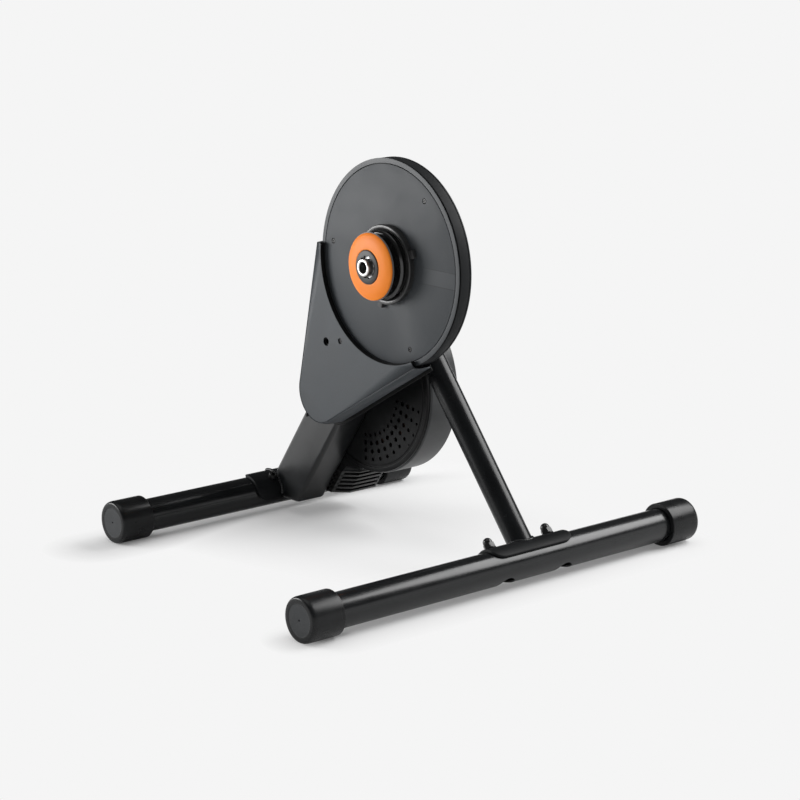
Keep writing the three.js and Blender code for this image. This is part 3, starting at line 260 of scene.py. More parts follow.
# The belt: woven rubber with fine cross lines
def beltFinish():
    finish = Finish("beltRubber")
    patches = finish.span(finish.noise(40), 0.3, 0.7)
    weave = finish.noise(1400) + finish.lines(finish.axis("Y"), 1500.0) * 0.3
    return finish.feed(
        Base_Color=finish.mix(patches, grey(0.012, 0.08), grey(0.016, 0.08)), Roughness=patches * 0.08 + 0.52,
        Specular_IOR_Level=0.16, Normal=finish.bump(weave, 0.2, 0.00004))


# Laminated steel with copper windings: copper where the coils stand proud of the core
def windingFinish():
    finish = Finish("windings")
    strands = finish.lines(finish.axis("Y"), 1600.0, 1.0)
    coil = finish.between(finish.radius(shaftAt), 0.0575, 0.0765, 0.0005)
    colour = finish.mix(coil, grey(0.05), (0.05, 0.020, 0.010, 1))
    colour = finish.mix(finish.span(strands, 0.4, 0.6) * 0.4, colour, grey(0.02))
    return finish.feed(
        Base_Color=colour, Roughness=strands * 0.2 + 0.3, Metallic=0.9, Normal=finish.bump(strands, 0.5, 0.0001))


coat = dict(grain=1300, grainDepth=0.00003, grainStrength=0.22)
surfaces = {
    "coatedBlack": dict(shades(0.008, 0.011, 0.08), rough=(0.20, 0.25), specular=0.43, wave=0.03, dust=0.12, **coat),
    "strutBlack": dict(shades(0.006, 0.009, 0.08), rough=(0.22, 0.28), specular=0.28, wave=0.03, dust=0.12, **coat),
    "saddleBlack": dict(shades(0.008, 0.011, 0.08), rough=(0.5, 0.58), specular=0.14, dust=0.12, **coat),
    "beamBlack": dict(shades(0.008, 0.012, 0.08), rough=(0.29, 0.34), specular=0.6, wave=0.03, dust=0.1, **coat),
    "guardGrey": dict(shades(0.041, 0.047, 0.12), rough=(0.50, 0.56), grain=1400, grainStrength=0.3, patch=22,
                      specular=0.35),
    "coverRing": dict(shades(0.044, 0.050, 0.1), rough=(0.44, 0.50), grain=1200, patch=25, specular=0.35),
    "pulleyBlack": dict(shades(0.016, 0.020, 0.1), rough=(0.46, 0.54), specular=0.22),
    "capRubber": dict(shades(0.009, 0.012, 0.06), rough=(0.26, 0.32), grain=1500, grainDepth=0.00006,
                      grainStrength=0.35, specular=0.25, patch=60, dust=0.25),
    # The caps' end faces: the same rubber, matt and painted lighter; the lighter shade is painted light
    "capFaceLit": dict(shades(0.026, 0.032, 0.08), rough=(0.5, 0.6), grain=1500, grainDepth=0.00008,
                    grainStrength=0.4, specular=0.35),
    # Real black plastic parts, and the black pieces that stand in as painted shade
    "blackPlasticAndShade": dict(shades(0.004, 0.007), rough=(0.40, 0.48), grain=1300, specular=0.15),
    "glossPlastic": dict(shades(0.012, 0.016), rough=(0.16, 0.22), grain=700, grainStrength=0.06, specular=0.7),
    # The brake cover's own black, also used for the dark pieces of painted shade below it
    "brakeBlackAndShade": dict(shades(0.005, 0.008, 0.05), rough=(0.38, 0.46), grain=1000, specular=0.15),
    "clutchPlastic": dict(shades(0.030, 0.038), rough=(0.30, 0.38), grain=1300),
    "orangePlastic": dict(dark=(0.95, 0.245, 0.018, 1), light=(0.98, 0.270, 0.022, 1), rough=(0.44, 0.52),
                          grain=1300, grainDepth=0.00002, edge=0.0, specular=0.25),
    "greyPlastic": dict(shades(0.12, 0.15)),
    "boltBlack": dict(shades(0.008, 0.012), rough=(0.26, 0.36), grain=1600),
    "flywheelBlack": dict(shades(0.024, 0.036, 0.06), rough=(0.34, 0.42), grain=1200, patch=25),
    "housingBlack": dict(shades(0.016, 0.021), rough=(0.34, 0.42), grain=1200),
    "castGrey": dict(shades(0.10, 0.14), rough=(0.45, 0.6), metal=0.8, grain=500, grainDepth=0.0001),
    "magnetSteel": dict(shades(0.12, 0.16), rough=(0.3, 0.42), metal=1.0),
    "boardGreen": dict(dark=(0.01, 0.10, 0.04, 1), light=(0.015, 0.13, 0.05, 1), rough=(0.4, 0.5)),
    "lampClear": dict(shades(0.012, 0.018), rough=(0.14, 0.2), grain=500, grainStrength=0.05),
}
metals = {
    "axleSteel": shades(0.50, 0.68),
    "cogSteel": shades(0.30, 0.42),
    "ringSteel": dict(shades(0.020, 0.032), rough=(0.32, 0.42), metal=0.2),
    "lockBlack": dict(shades(0.012, 0.020), rough=(0.46, 0.54), metal=0.0),
    "shaftSteel": dict(shades(0.40, 0.55), centre=shaftAt),
}
paint = {name: surface(name, **looks) for name, looks in surfaces.items()}
paint.update((name, turnedMetal(name, **looks)) for name, looks in metals.items())
paint.update(coverGrey=coverFinish(), beltRubber=beltFinish(), windings=windingFinish())

# The CAD nodes that show their own shape, by finish
nodePaint = {
    "coatedBlack": ["shaft_housing"],
    "blackPlasticAndShade": ["guard_backplate", "power_socket"],
    "boltBlack": ["front_bolt_near", "front_bolt_far"],
    "castGrey": ["small_pulley"],
    "windings": ["stator"],
    "magnetSteel": ["magnet_ring"],
    "boardGreen": ["io_board", "circuit_board"],
    "lampClear": ["status_light"],
    "axleSteel": ["axle", "hub_spacer", "left_spacer", "pulley_spacer", "freehub_spacer", "pulley_bearing_inner",
                  "pulley_bearing_outer", "freehub_bearing_inner", "freehub_bearing_outer"],
    "cogSteel": ["cog"],
    "lockBlack": ["freehub_body"],
    "shaftSteel": ["flywheel_shaft", "pulley_nut", "shaft_bearing_drive", "shaft_bearing_left"],
}


# A CAD node that stays: its finish, joined vertices, a small rounding on its sharp edges and smooth rounds
def dress(name, material, rounding=0.3):
    piece = nodes[name]
    piece.data.materials.clear()
    piece.data.materials.append(material)
    for face in piece.data.polygons:
        face.use_smooth = True
    weld = piece.modifiers.new("weld", "WELD")
    weld.merge_threshold = 0.00001
    bevel = piece.modifiers.new("edges", "BEVEL")
    bevel.width = rounding * mm
    bevel.segments = 2
    bevel.limit_method = "ANGLE"
    bevel.angle_limit = math.radians(38)
    bevel.use_clamp_overlap = True
    piece.modifiers.new("shading", "WEIGHTED_NORMAL").keep_sharp = True


for finishName, names in nodePaint.items():
    for nodeName in names:
        dress(nodeName, paint[finishName])
print("nodes dressed:", sum(len(names) for names in nodePaint.values()))


# Mesh tools: shapes are drawn in millimetres, outlines as (x, z) points
def around(centre, radius, angle):
    return (centre[0] + radius * math.cos(angle), centre[1] + radius * math.sin(angle))


def arc(centre, radius, start, end, steps):
    return [around(centre, radius, start + (end - start) * k / steps) for k in range(steps + 1)]


def circle(centre, radius, sides=40):
    return [around(centre, radius, fullTurn * k / sides) for k in range(sides)]


def atY(outline, y):
    return [(x, y, z) for x, z in outline]


# Faces between rows of points: closed joins the ends of each row, looped joins the last row to the first
def quads(rows, sides, closed=True, looped=False, start=0):
    faces = []
    for row in range(rows if looped else rows - 1):
        a, b = start + row * sides, start + (row + 1) % rows * sides
        for k in range(sides if closed else sides - 1):
            n = (k + 1) % sides
            faces.append((a + k, a + n, b + n, b + k))
    return faces


def ends(rows, sides):
    return [list(range(sides))[::-1], list(range((rows - 1) * sides, rows * sides))]


# A profile or outline with its corners rounded: each point may carry its own rounding as a third number
def softened(points, closed=True, steps=4):
    made = []
    count = len(points)
    for k, point in enumerate(points):
        here = Vector(point[:2])
        size = point[2] if len(point) > 2 else 0
        if not size or (not closed and k in (0, count - 1)):
            made.append(tuple(here))
            continue
        before = Vector(points[k - 1][:2]) - here
        after = Vector(points[(k + 1) % count][:2]) - here
        first = here + before.normalized() * min(size, before.length * 0.48)
        last = here + after.normalized() * min(size, after.length * 0.48)
        for step in range(steps + 1):
            t = step / steps
            made.append(tuple(first * (1 - t) ** 2 + here * 2 * t * (1 - t) + last * t * t))
    return made


def shade(mesh, smooth):
    mesh.shade_smooth()
    mesh.set_sharp_from_angle(angle=math.radians(smooth))


def finishMesh(name, mesh, finish, body="frame", stands=(), smooth=32):
    mesh.materials.clear()
    mesh.materials.append(paint[finish])
    shade(mesh, smooth)
    piece = addObject(name, mesh)
    if body:
        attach(piece, body)
    if stands:
        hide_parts(*stands)
    return piece


def settle(build, mesh):
    bmesh.ops.recalc_face_normals(build, faces=build.faces)
    build.to_mesh(mesh)
    build.free()
    return mesh


def makePiece(name, points, faces, finish, **how):
    mesh = bpy.data.meshes.new(name)
    mesh.from_pydata([tuple(c * mm for c in p) for p in points], [], faces)
    build = bmesh.new()
    build.from_mesh(mesh)
    bmesh.ops.remove_doubles(build, verts=build.verts, dist=0.002 * mm)
    return finishMesh(name, settle(build, mesh), finish, **how)


# A profile of (radius, y) points turned about the Y axis through a centre
def turned(name, profile, centre, finish, sides=128, steps=4, **how):
    closed = profile[0][0] > 0 or profile[-1][0] > 0
    line = softened(profile, closed, steps)
    points = [point for radius, y in line for point in atY(circle(centre, radius, sides), y)]
    return makePiece(name, points, quads(len(line), sides, looped=closed), finish, **how)


def rowOf(build, outline, y):
    return [build.verts.new((x * mm, y * mm, z * mm)) for x, z in outline]


def wallBetween(build, low, high, closed=True):
    for k in range(len(low) if closed else len(low) - 1):
        n = (k + 1) % len(low)
        build.faces.new((low[k], low[n], high[n], high[k]))


def fillLoops(build, loops):
    edges = []
    for loop in loops:
        for pair in zip(loop, loop[1:] + loop[:1]):
            edges.append(build.edges.get(pair) or build.edges.new(pair))
    bmesh.ops.triangle_fill(build, use_beauty=True, edges=edges)


# A flat-faced piece: rings of outline points from the near face to the far face, with holes straight through
def lofted(name, rings, finish, holes=(), **how):
    build = bmesh.new()
    loops = [rowOf(build, outline, y) for outline, y in rings]
    bores = [[rowOf(build, hole, y) for y in (rings[0][1], rings[-1][1])] for hole in holes]
    for low, high in list(zip(loops, loops[1:])) + bores:
        wallBetween(build, low, high)
    for side in (0, -1):
        if bores:
            fillLoops(build, [loops[side]] + [bore[side] for bore in bores])
        else:
            build.faces.new(loops[side])
    return finishMesh(name, settle(build, bpy.data.meshes.new(name)), finish, **how)


# Rings of an outline from its near face to its far face, rounded at both
def roundedRings(outlineAt, near, far, size, steps=7):
    bends = [quarterTurn * k / steps for k in range(steps + 1)]
    rings = [(outlineAt(size * (1 - math.sin(bend))), near + size * (1 - math.cos(bend))) for bend in bends]
    return rings + [(outlineAt(size * (1 - math.sin(bend))), far - size * (1 - math.cos(bend)))
                    for bend in bends[::-1]]


# A tube cut by others, with the result kept as its mesh
def carved(piece, cutters, smooth=32):
    for cutter in cutters:
        change = piece.modifiers.new("hole", "BOOLEAN")
        change.object = cutter
        change.operation = "DIFFERENCE"
        change.solver = "EXACT"
    shapes = bpy.context.evaluated_depsgraph_get()
    mesh = bpy.data.meshes.new_from_object(piece.evaluated_get(shapes))
    piece.modifiers.clear()
    piece.data = mesh
    shade(mesh, smooth)
    for cutter in cutters:
        bpy.data.objects.remove(cutter)


# Points of (side, height, other) stood on an axis that leans in the XZ plane
def standing(points, centre, y, turn):
    out, side = Vector((math.cos(turn), 0, math.sin(turn))), Vector((0, 1, 0))
    other = out.cross(side)
    base = Vector((centre[0], y, centre[1]))
    return [tuple(base + out * p[1] + side * p[0] + other * p[2]) for p in points]


# Floor bars, caps, saddles and bolts
bars = dict(
    radius=19.05, wall=2, holeRadius=12.5, holeTurn=-66, holeReach=(8, 30), holeSides=48,
    front=dict(ends=(-276.7, 276.7), holes=(-7.8, 78.2), lean=38.83),
    rear=dict(ends=(-226.2, 197.7), bolts=(-10.5, 46.5)),
)
strutTurn = math.radians(90 + bars["front"]["lean"])  # the strut's direction, measured from +X towards +Z


def barTube(name, centre, span, node):
    bore, radius = bars["radius"] - bars["wall"], bars["radius"]
    profile = [(bore, span[0], 0.4), (radius, span[0], 0.4), (radius, span[1], 0.4), (bore, span[1], 0.4)]
    return turned(name, profile, centre, "coatedBlack", sides=96, stands=[node])


# A short rod across a bar, used as a cutter
def crossRod(centre, y):
    rings = [atY(circle((0, 0), bars["holeRadius"], bars["holeSides"]), reach) for reach in bars["holeReach"]]
    points = standing(rings[0] + rings[1], centre, y, math.radians(bars["holeTurn"]))
    faces = quads(2, bars["holeSides"]) + ends(2, bars["holeSides"])
    return makePiece("cutter", points, faces, "coatedBlack", body=None)


frontTube = barTube("front_bar_tube", frontBarAt, bars["front"]["ends"], "front_bar")
carved(frontTube, [crossRod(frontBarAt, y) for y in bars["front"]["holes"]])
barTube("rear_bar_tube", rearBarAt, bars["rear"]["ends"], "rear_bar")

caps = dict(
    radius=24.8, length=41.5, bore=19.35, dish=0.3, dishMargin=8, round=6, lip=1.2, endWall=5, dimple=1.1, pit=1.6,
    feet={"foot_cap_front_near": (frontBarAt, -282, 1), "foot_cap_front_far": (frontBarAt, 282, -1),
          "foot_cap_rear_near": (rearBarAt, -231.5, 1), "foot_cap_rear_far": (rearBarAt, 203, -1)},
)


def footCap(node, centre, outer, inward):
    radius, length, bore, endWall = picked(caps, "radius length bore endWall")
    rim, dish, dimple, pit = radius - caps["dishMargin"], caps["dish"], caps["dimple"], caps["pit"]
    drawn = [  # radius, depth from the outer face, rounding
        (0, pit, 0), (dimple * 0.6, pit, 0.3), (dimple, dish, 0.4), (rim, dish, 0.8), (rim + 1.4, 0, 0.8),
        (radius, 0, caps["round"]), (radius, length, caps["lip"]), (bore, length, 0.6), (bore, endWall, 0),
        (0, endWall, 0),
    ]
    profile = [(reach, outer + inward * depth, rounding) for reach, depth, rounding in drawn]
    cap = turned(node + "_rubber", profile, centre, "capRubber", sides=96, steps=6, stands=[node])
    cap.data.materials.append(paint["capFaceLit"])
    for face in cap.data.polygons:  # the end face is moulded matt, and its lighter shade is painted light
        reach = math.hypot(face.center.x - centre[0] * mm, face.center.z - centre[1] * mm)
        if reach < (rim + 0.4) * mm and abs(face.center.y - outer * mm) < 2 * mm:
            face.material_index = 1
    for vertex in cap.data.vertices:  # the foot is flat where it stands on the floor
        vertex.co.z = max(vertex.co.z, 0)


for capNode, place in caps["feet"].items():
    footCap(capNode, *place)

saddles = dict(
    inner=19.4, thickness=3, edge=0.9, across=24,
    front=dict(middle=35.2, halfLength=58, wrap=31.5, corner=14, turn=strutTurn, centre=frontBarAt),
    rear=dict(middle=18, halfLength=56, wrap=29.5, corner=17, turn=math.radians(55.15), centre=rearBarAt),
)


# A plate with rounded ends bent round a bar, its edges rounded too
def saddlePlate(name, node, middle, halfLength, wrap, corner, turn, centre):
    edge, across = saddles["edge"], saddles["across"]
    inner, outer = saddles["inner"], saddles["inner"] + saddles["thickness"]
    straight = halfLength - corner
    left = [-straight - corner * math.cos(quarterTurn * k / 10) for k in range(11)]
    along = left + [-straight + 2 * straight * k / 12 for k in range(1, 12)] + [-u for u in left[::-1]]
    points, layers = [], []
    for radius, shrink in ((inner, 0), (outer - edge, 0), (outer - edge * 0.3, edge * 0.3), (outer, edge)):
        rows = []
        for u in along:
            y = middle + u * (halfLength - shrink) / halfLength
            past = max(0, abs(u) - straight)
            half = wrap - corner + math.sqrt(max(0, corner ** 2 - past ** 2)) - shrink
            rows.append(range(len(points), len(points) + across + 1))
            points += atY(arc(centre, radius, turn - half / outer, turn + half / outer, across), y)
        layers.append(rows)
    faces = []
    for rows in (layers[0], layers[-1]):
        faces += quads(len(along), across + 1, closed=False, start=rows[0][0])
    borders = [list(rows[0]) + [row[-1] for row in rows[1:]] + list(rows[-1])[-2::-1]
               + [row[0] for row in rows[-2:0:-1]] for rows in layers]
    for a, b in zip(borders, borders[1:]):
        faces += [(a[k - 1], a[k], b[k], b[k - 1]) for k in range(len(a))]
    makePiece(name, points, faces, "saddleBlack", stands=[node], smooth=40)


saddlePlate("front_saddle_plate", "front_saddle", **saddles["front"])
saddlePlate("rear_saddle_plate", "rear_saddle", **saddles["rear"])

# Dome nuts and socket-headed bolts, both stood on their saddles
nuts = dict(seat=22.35, flats=11.4, hexHeight=5.4, dome=5.3, height=13, washer=6.6, washerHeight=0.9, sides=72)
bolts = dict(seat=22.35, radius=5, height=5, socket=2.4, socketDepth=3, sides=48)


# Rings of radii stacked up an axis: each row is its height and one radius, or a radius for each point
def stackedRings(name, node, rows, sides, centre, y, turn, smooth):
    points = []
    for height, radii in rows:
        for k in range(sides):
            x, z = around((0, 0), radii[k] if isinstance(radii, list) else radii, fullTurn * k / sides)
            points.append((x, height, z))
    faces = quads(len(rows), sides) + ends(len(rows), sides)
    makePiece(name, standing(points, centre, y, turn), faces, "boltBlack", stands=[node], smooth=smooth)


# Washer, six flats with turned corners, and the dome
def domeNutRows():
    sides, dome, washer, washerTop = nuts["sides"], nuts["dome"], nuts["washer"], nuts["seat"] + nuts["washerHeight"]
    shoulder, top = washerTop + nuts["hexHeight"], nuts["seat"] + nuts["height"]

    def hexagon(cut):
        sweep = [fullTurn * k / sides % (math.pi / 3) - math.pi / 6 for k in range(sides)]
        return [min(nuts["flats"] / 2 / math.cos(turn), nuts["flats"] / math.sqrt(3) * cut) for turn in sweep]

    bends = [quarterTurn * k / 7 for k in range(8)]
    return [
        (nuts["seat"], washer), (nuts["seat"] + nuts["washerHeight"] * 0.7, washer), (washerTop, washer - 0.3),
        (washerTop, hexagon(0.93)), (washerTop + 0.6, hexagon(1)), (shoulder - 0.8, hexagon(1)),
        (shoulder, hexagon(0.9)), (shoulder + 0.1, dome),
    ] + [(top - dome + dome * math.sin(bend), dome * math.cos(bend)) for bend in bends]


def socketBoltRows():
    seat, radius, socket = bolts["seat"], bolts["radius"], bolts["socket"]
    top = seat + bolts["height"]
    profile = [(radius, seat), (radius, top, 0.7), (socket + 0.5, top, 0.4), (socket, top - 0.5),
               (socket, top - bolts["socketDepth"])]
    return [(height, reach) for reach, height in softened(profile, closed=False)]


for side, y in zip(("near", "far"), bars["front"]["holes"]):
    stackedRings("front_dome_nut_" + side, "front_nut_" + side, domeNutRows(), nuts["sides"],
                 frontBarAt, y, strutTurn, 30)
for side, y in zip(("near", "far"), bars["rear"]["bolts"]):
    stackedRings("rear_socket_bolt_" + side, "rear_bolt_" + side, socketBoltRows(), bolts["sides"],
                 rearBarAt, y, saddles["rear"]["turn"], 32)
print("bars, caps and saddles built")

# Strut, beam and their weld beads
beam = dict(
    angle=55.15, front=24, depth=53.5, near=-2.8, width=41.2, round=5, bottom=17, footRound=9,
    headRadius=21, headHole=21.3, shaftHole=21.1, headBore=8.8, headEnd=60, headLip=0.9,
    headCollar=10.5, headNose=11.5, headRecess=2,
)
beamTurn = math.radians(beam["angle"])
beamUp = (math.cos(beamTurn), math.sin(beamTurn))
beamOut = (math.sin(beamTurn), -math.cos(beamTurn))
beamFar = beam["near"] + beam["width"]


def beamPoint(out, up):
    return (axleAt[0] + beamOut[0] * out + beamUp[0] * up, axleAt[1] + beamOut[1] * out + beamUp[1] * up)


def beamOutline(inset):
    front, back = beam["front"] - inset, beam["front"] - beam["depth"] + inset
    bottom, corner = beam["bottom"] + inset, beam["footRound"] - inset * 0.6
    top = beamPoint((front + back) / 2, 0)
    outTurn = beamTurn - quarterTurn
    footUp = (bottom - axleAt[1] - beamOut[1] * front) / beamUp[1]
    cornerX = beamPoint(front, footUp)[0] - corner * math.tan(beamTurn / 2)
    barUp = (rearBarAt[0] - axleAt[0]) * beamUp[0] + (rearBarAt[1] - axleAt[1]) * beamUp[1]
    return (arc(top, beam["depth"] / 2 - inset, outTurn, outTurn + math.pi, 40)
            + [beamPoint(back, barUp + 6), (rearBarAt[0] + 2, bottom)]
            + arc((cornerX, bottom + corner), corner, -quarterTurn, outTurn, 10))


lofted("beam_shell", roundedRings(beamOutline, beam["near"], beamFar, beam["round"]), "beamBlack",
       holes=[circle(axleAt, beam["headHole"], 64), circle(shaftAt, beam["shaftHole"], 64)],
       stands=["main_beam"], smooth=50)


def axleHead():
    near, end, bore, radius, collar, nose = picked(beam, "near headEnd headBore headRadius headCollar headNose")
    lip, recess = near - beam["headLip"], end - beam["headRecess"]
    turned("axle_head_boss", [
        (bore, lip, 0.2), (collar, lip, 0.2), (collar, near), (radius, near), (radius, end, 2.5), (nose, end, 0.5),
        (nose, recess, 0.3), (bore, recess, 0.2),
    ], axleAt, "coatedBlack", steps=6, stands=["axle_head"])


axleHead()

strutTube = dict(radius=14.3, y=35.2, seat=22.35, sink=1.5, topGap=0.2, sides=96)
strutDir = Vector((math.cos(strutTurn), 0, math.sin(strutTurn)))
strutSide = Vector((math.sin(strutTurn), 0, -math.cos(strutTurn)))
strutFoot = Vector((frontBarAt[0], strutTube["y"], frontBarAt[1]))


# A line along the strut: where it starts at the foot's height
def strutLine(turn, radius):
    return strutFoot + (strutSide * math.cos(turn) + Vector((0, math.sin(turn), 0))) * radius


# Where that line meets the plane of the beam's front face
def strutTop(turn, inset=0.0):
    start = strutLine(turn, strutTube["radius"] - inset)
    out = (start.x - axleAt[0]) * beamOut[0] + (start.z - axleAt[1]) * beamOut[1]
    fall = strutDir.x * beamOut[0] + strutDir.z * beamOut[1]
    return start + strutDir * ((beam["front"] + strutTube["topGap"] + inset - out) / fall)


# Where it meets the saddle's round
def strutBottom(turn, radius, seat):
    rise = math.sqrt(seat ** 2 - (radius * math.cos(turn)) ** 2)
    return strutLine(turn, radius) + strutDir * rise


def strutBody():
    sides, radius, foot = strutTube["sides"], strutTube["radius"], strutTube["seat"] - strutTube["sink"]
    turns = [fullTurn * k / sides for k in range(sides)]
    feet = [tuple(strutBottom(turn, radius, foot)) for turn in turns]
    tops = [tuple(strutTop(turn)) for turn in turns]
    makePiece("strut_tube", feet + tops, quads(2, sides) + ends(2, sides), "strutBlack", stands=["strut"], smooth=40)


strutBody()
welds = dict(
    ripple=2.2, depth=0.16, sides=14, foot=1.9, head=1.8, beam=1.9, footSteps=220, headSteps=200, headSpan=(-205, 25),
    sink=0.3, stand=0.2, headReach=21.4, rearReach=22.9, rearSpan=(-4, 112),
)


# A weld bead: small overlapping ripples along a path
def weldBead(name, path, size, closed=False):
    sides, count = welds["sides"], len(path)
    spots = [Vector(point) for point in path]
    points, run = [], 0.0
    for k, here in enumerate(spots):
        run += (here - spots[k - 1]).length if k else 0.0
        radius = size * (1 - welds["depth"] + welds["depth"] * math.sin(math.pi * (run / welds["ripple"] % 1)))
        before = spots[k - 1] if k or closed else here
        after = spots[(k + 1) % count] if k < count - 1 or closed else here
        forward = (after - before).normalized()
        side = forward.cross(Vector((0, 0, 1)) if abs(forward.z) < 0.9 else Vector((0, 1, 0))).normalized()
        up = side.cross(forward).normalized()
        for j in range(sides):
            turn = fullTurn * j / sides
            points.append(tuple(here + (side * math.cos(turn) + up * math.sin(turn)) * radius))
    faces = quads(count, sides, looped=closed) + ([] if closed else ends(count, sides))
    makePiece(name, points, faces, "coatedBlack", smooth=60)


def strutHeadPath():
    (low, high), last = welds["headSpan"], welds["headSteps"] - 1
    turns = [math.radians(low + (high - low) * k / last) for k in range(last + 1)]
    path = [strutTop(turn, -welds["stand"]) - strutDir * welds["sink"] for turn in turns]
    return [point for point in path if point.y < beamFar - beam["round"] + 2]  # it stops where the beam turns away


def strutFootPath():
    radius, seat = strutTube["radius"] + welds["sink"], strutTube["seat"] + welds["stand"]
    count = welds["footSteps"]
    return [strutBottom(fullTurn * k / count, radius, seat) for k in range(count)]


def rearWeldPath(y):
    low, high = (math.radians(angle) for angle in welds["rearSpan"])
    return atY(arc(rearBarAt, welds["rearReach"], low, high, 90), y)


weldBead("strut_foot_weld", strutFootPath(), welds["foot"], closed=True)
weldBead("strut_head_weld", strutHeadPath(), welds["head"])
weldBead("rear_weld_near", rearWeldPath(beam["near"] - welds["stand"]), welds["beam"])
weldBead("rear_weld_far", rearWeldPath(beamFar + welds["stand"]), welds["beam"])
weldBead("head_weld_far", atY(circle(axleAt, welds["headReach"], 140), beamFar + 0.3), welds["beam"], closed=True)
print("beam and strut built")

# Pulley, its cover and screws
fineSides = 220
pulley = dict(
    face=-22, back=-4, radius=116.5, seat=113.5, flange=2, rim=108.5, web=(-12, -9), hub=20, bore=13.3, step=1.9,
    lip=0.55, lipSlope=0.3, groove=2.6, shadeRingFar=-19.3,
    cover=110.2, coverGap=0.8, coverBore=32, coverThickness=1.6, screwCircle=97, screwTurn=52, screwHole=3.1,
)


def pulleyWheel():
    face, back, radius, seat = picked(pulley, "face back radius seat")
    hub, bore, rim, (webNear, webFar) = picked(pulley, "hub bore rim web")
    step, lip, flange = face + pulley["step"], face + pulley["lip"], back - pulley["flange"]
    edge, shadeRingOut, shadeRingFar = pulley["cover"] + pulley["coverGap"], radius - pulley["groove"], pulley["shadeRingFar"]
    how = dict(sides=fineSides, body="pulley")
    turned("belt_pulley_rim", [
        (bore, step, 0.3), (hub, step, 0.5), (hub, webNear, 2), (rim, webNear, 2), (rim, step), (edge, step),
        (edge, lip), (seat, lip), (seat, flange), (radius, flange, 0.4), (radius, back, 0.7), (rim, back, 0.7),
        (rim, webFar, 2), (hub, webFar, 2), (hub, back - 0.3, 0.5), (bore, back - 0.3, 0.3),
    ], axleAt, "pulleyBlack", stands=["belt_pulley"], **how)
    turned("pulley_front_lip", [
        (edge, lip), (edge, face, 0.3), (radius, face + pulley["lipSlope"], 0.1), (radius, lip),
    ], axleAt, "coverRing", **how)
    # A black ring in the groove between the front lip and the belt: painted shade for the dark gap there
    turned("pulley_lip_shade_ring", [(seat, lip), (shadeRingOut, lip), (shadeRingOut, shadeRingFar), (seat, shadeRingFar)],
           axleAt, "blackPlasticAndShade", **how)


def pulleyCover():
    face, radius = pulley["face"], pulley["cover"]
    back = face + pulley["coverThickness"]
    places = [around(axleAt, pulley["screwCircle"], math.radians(pulley["screwTurn"] + 120 * k)) for k in range(3)]
    rings = ((radius - 0.45, face), (radius - 0.12, face + 0.12), (radius, face + 0.45), (radius, back))
    lofted("cover_disc", [(circle(axleAt, reach, fineSides), y) for reach, y in rings], "coverGrey",
           holes=[circle(axleAt, pulley["coverBore"], 96)] + [circle(p, pulley["screwHole"], 32) for p in places],
           body="pulley", stands=["pulley_cover"])
    for k, place in enumerate(places):
        turned(f"cover_screw_head_{k + 1}", [
            (0, face + 0.9), (0.9, face + 0.9, 0.1), (1.25, face + 0.1, 0.2), (2.3, face + 0.1, 0.5),
            (2.6, face + 0.8, 0.2), (2.6, back), (0, back),
        ], place, "boltBlack", sides=32, body="pulley", stands=[f"cover_screw_{k + 1}"])


pulleyWheel()
pulleyCover()

# The clutch ring on the cover, its face and its small lugs, each a block that follows the ring
clutch = dict(
    radius=44.5, mouth=40.5, inner=36.3, front=-29.5, seat=-22.1, bore=24.6,
    lugs=((21, 12, 5.4), (-101, 9, 5.2)),  # angle, spread, height
)


def ringLug(name, angle, spread, height):
    inner, outer = clutch["radius"] - 1.5, clutch["radius"] + height
    half, middle = math.radians(spread) / 2, math.radians(angle)

    def outline(inset):
        turn = half - inset / outer
        return (arc(axleAt, inner, middle - turn, middle + turn, 8)
                + arc(axleAt, outer - inset, middle + turn * 0.86, middle - turn * 0.86, 8))
    lofted(name, roundedRings(outline, clutch["front"] + 2.4, clutch["seat"], 0.7, 3), "clutchPlastic",
           body="pulley", smooth=40)


def clutchPieces():
    radius, mouth, inner, front, seat, bore = picked(clutch, "radius mouth inner front seat bore")
    turned("clutch_ring", [
        (inner, seat), (inner, front + 4.2, 0.4), (mouth - 0.6, front + 0.3, 0.5), (mouth + 0.8, front, 0.4),
        (radius - 0.2, front, 1.3), (radius, front + 3.2, 0.5), (radius - 0.7, front + 3.7, 0.3), (radius - 0.7, seat),
    ], axleAt, "clutchPlastic", sides=144, body="pulley", stands=["clutch_housing"])
    for k, lug in enumerate(clutch["lugs"]):
        ringLug(f"clutch_lug_{k + 1}", *lug)
    turned("clutch_face", [
        (bore, front + 0.8, 0.4), (28, front + 0.8, 0.3), (30, front + 1.6, 0.4), (35.6, front + 3.2, 0.5),
        (36, seat), (bore, seat),
    ], axleAt, "ringSteel", body="pulley", stands=["one_way_clutch"])


clutchPieces()

# The guards beside the cog: profile, finish, CAD node and sides of each
guards = {
    "inner_guard_disc": ([
        (17.6, -40.9, 0.2), (23, -40.9, 0.8), (23, -35.6, 1.2), (36.1, -35.6, 0.6), (38.7, -33.7, 0.8),
        (38.7, -32.6, 0.5), (17.6, -32.6, 0.2),
    ], "glossPlastic", "inner_guard", 144),
    "guard_backing_disc": ([
        (17.6, -43.7, 0.2), (17.6, -50.0), (18.6, -50.0), (36.4, -47.15), (38, -47.15, 0.35), (38, -45.6, 0.5),
        (23, -45.6, 1), (23, -43.7, 0.6),
    ], "greyPlastic", "guard_backing", 144),
    "orange_guard": ([
        (19.1, -50.4), (19.1, -52.2, 0.3), (20.4, -52.4, 0.8), (29, -51.5, 6), (34.2, -49.9, 4), (36.3, -48.8, 0.9),
        (37.2, -47.9, 0.5), (37.2, -47.5, 0.1), (36.4, -47.5),
    ], "orangePlastic", "outer_guard", 160),
}
for guardName, (profile, finishName, node, sides) in guards.items():
    turned(guardName, profile, axleAt, finishName, sides=sides, body="freehub", stands=[node])

# The lockring has twelve notches round its bore
lock = dict(
    notches=12, steps=12, bore=11.9, notch=0.8, notchSpan=(0.33, 0.67),
    rings=((17.9, -53.25), (18.5, -52.95), (18.7, -52.4), (18.7, -50.5)),
)


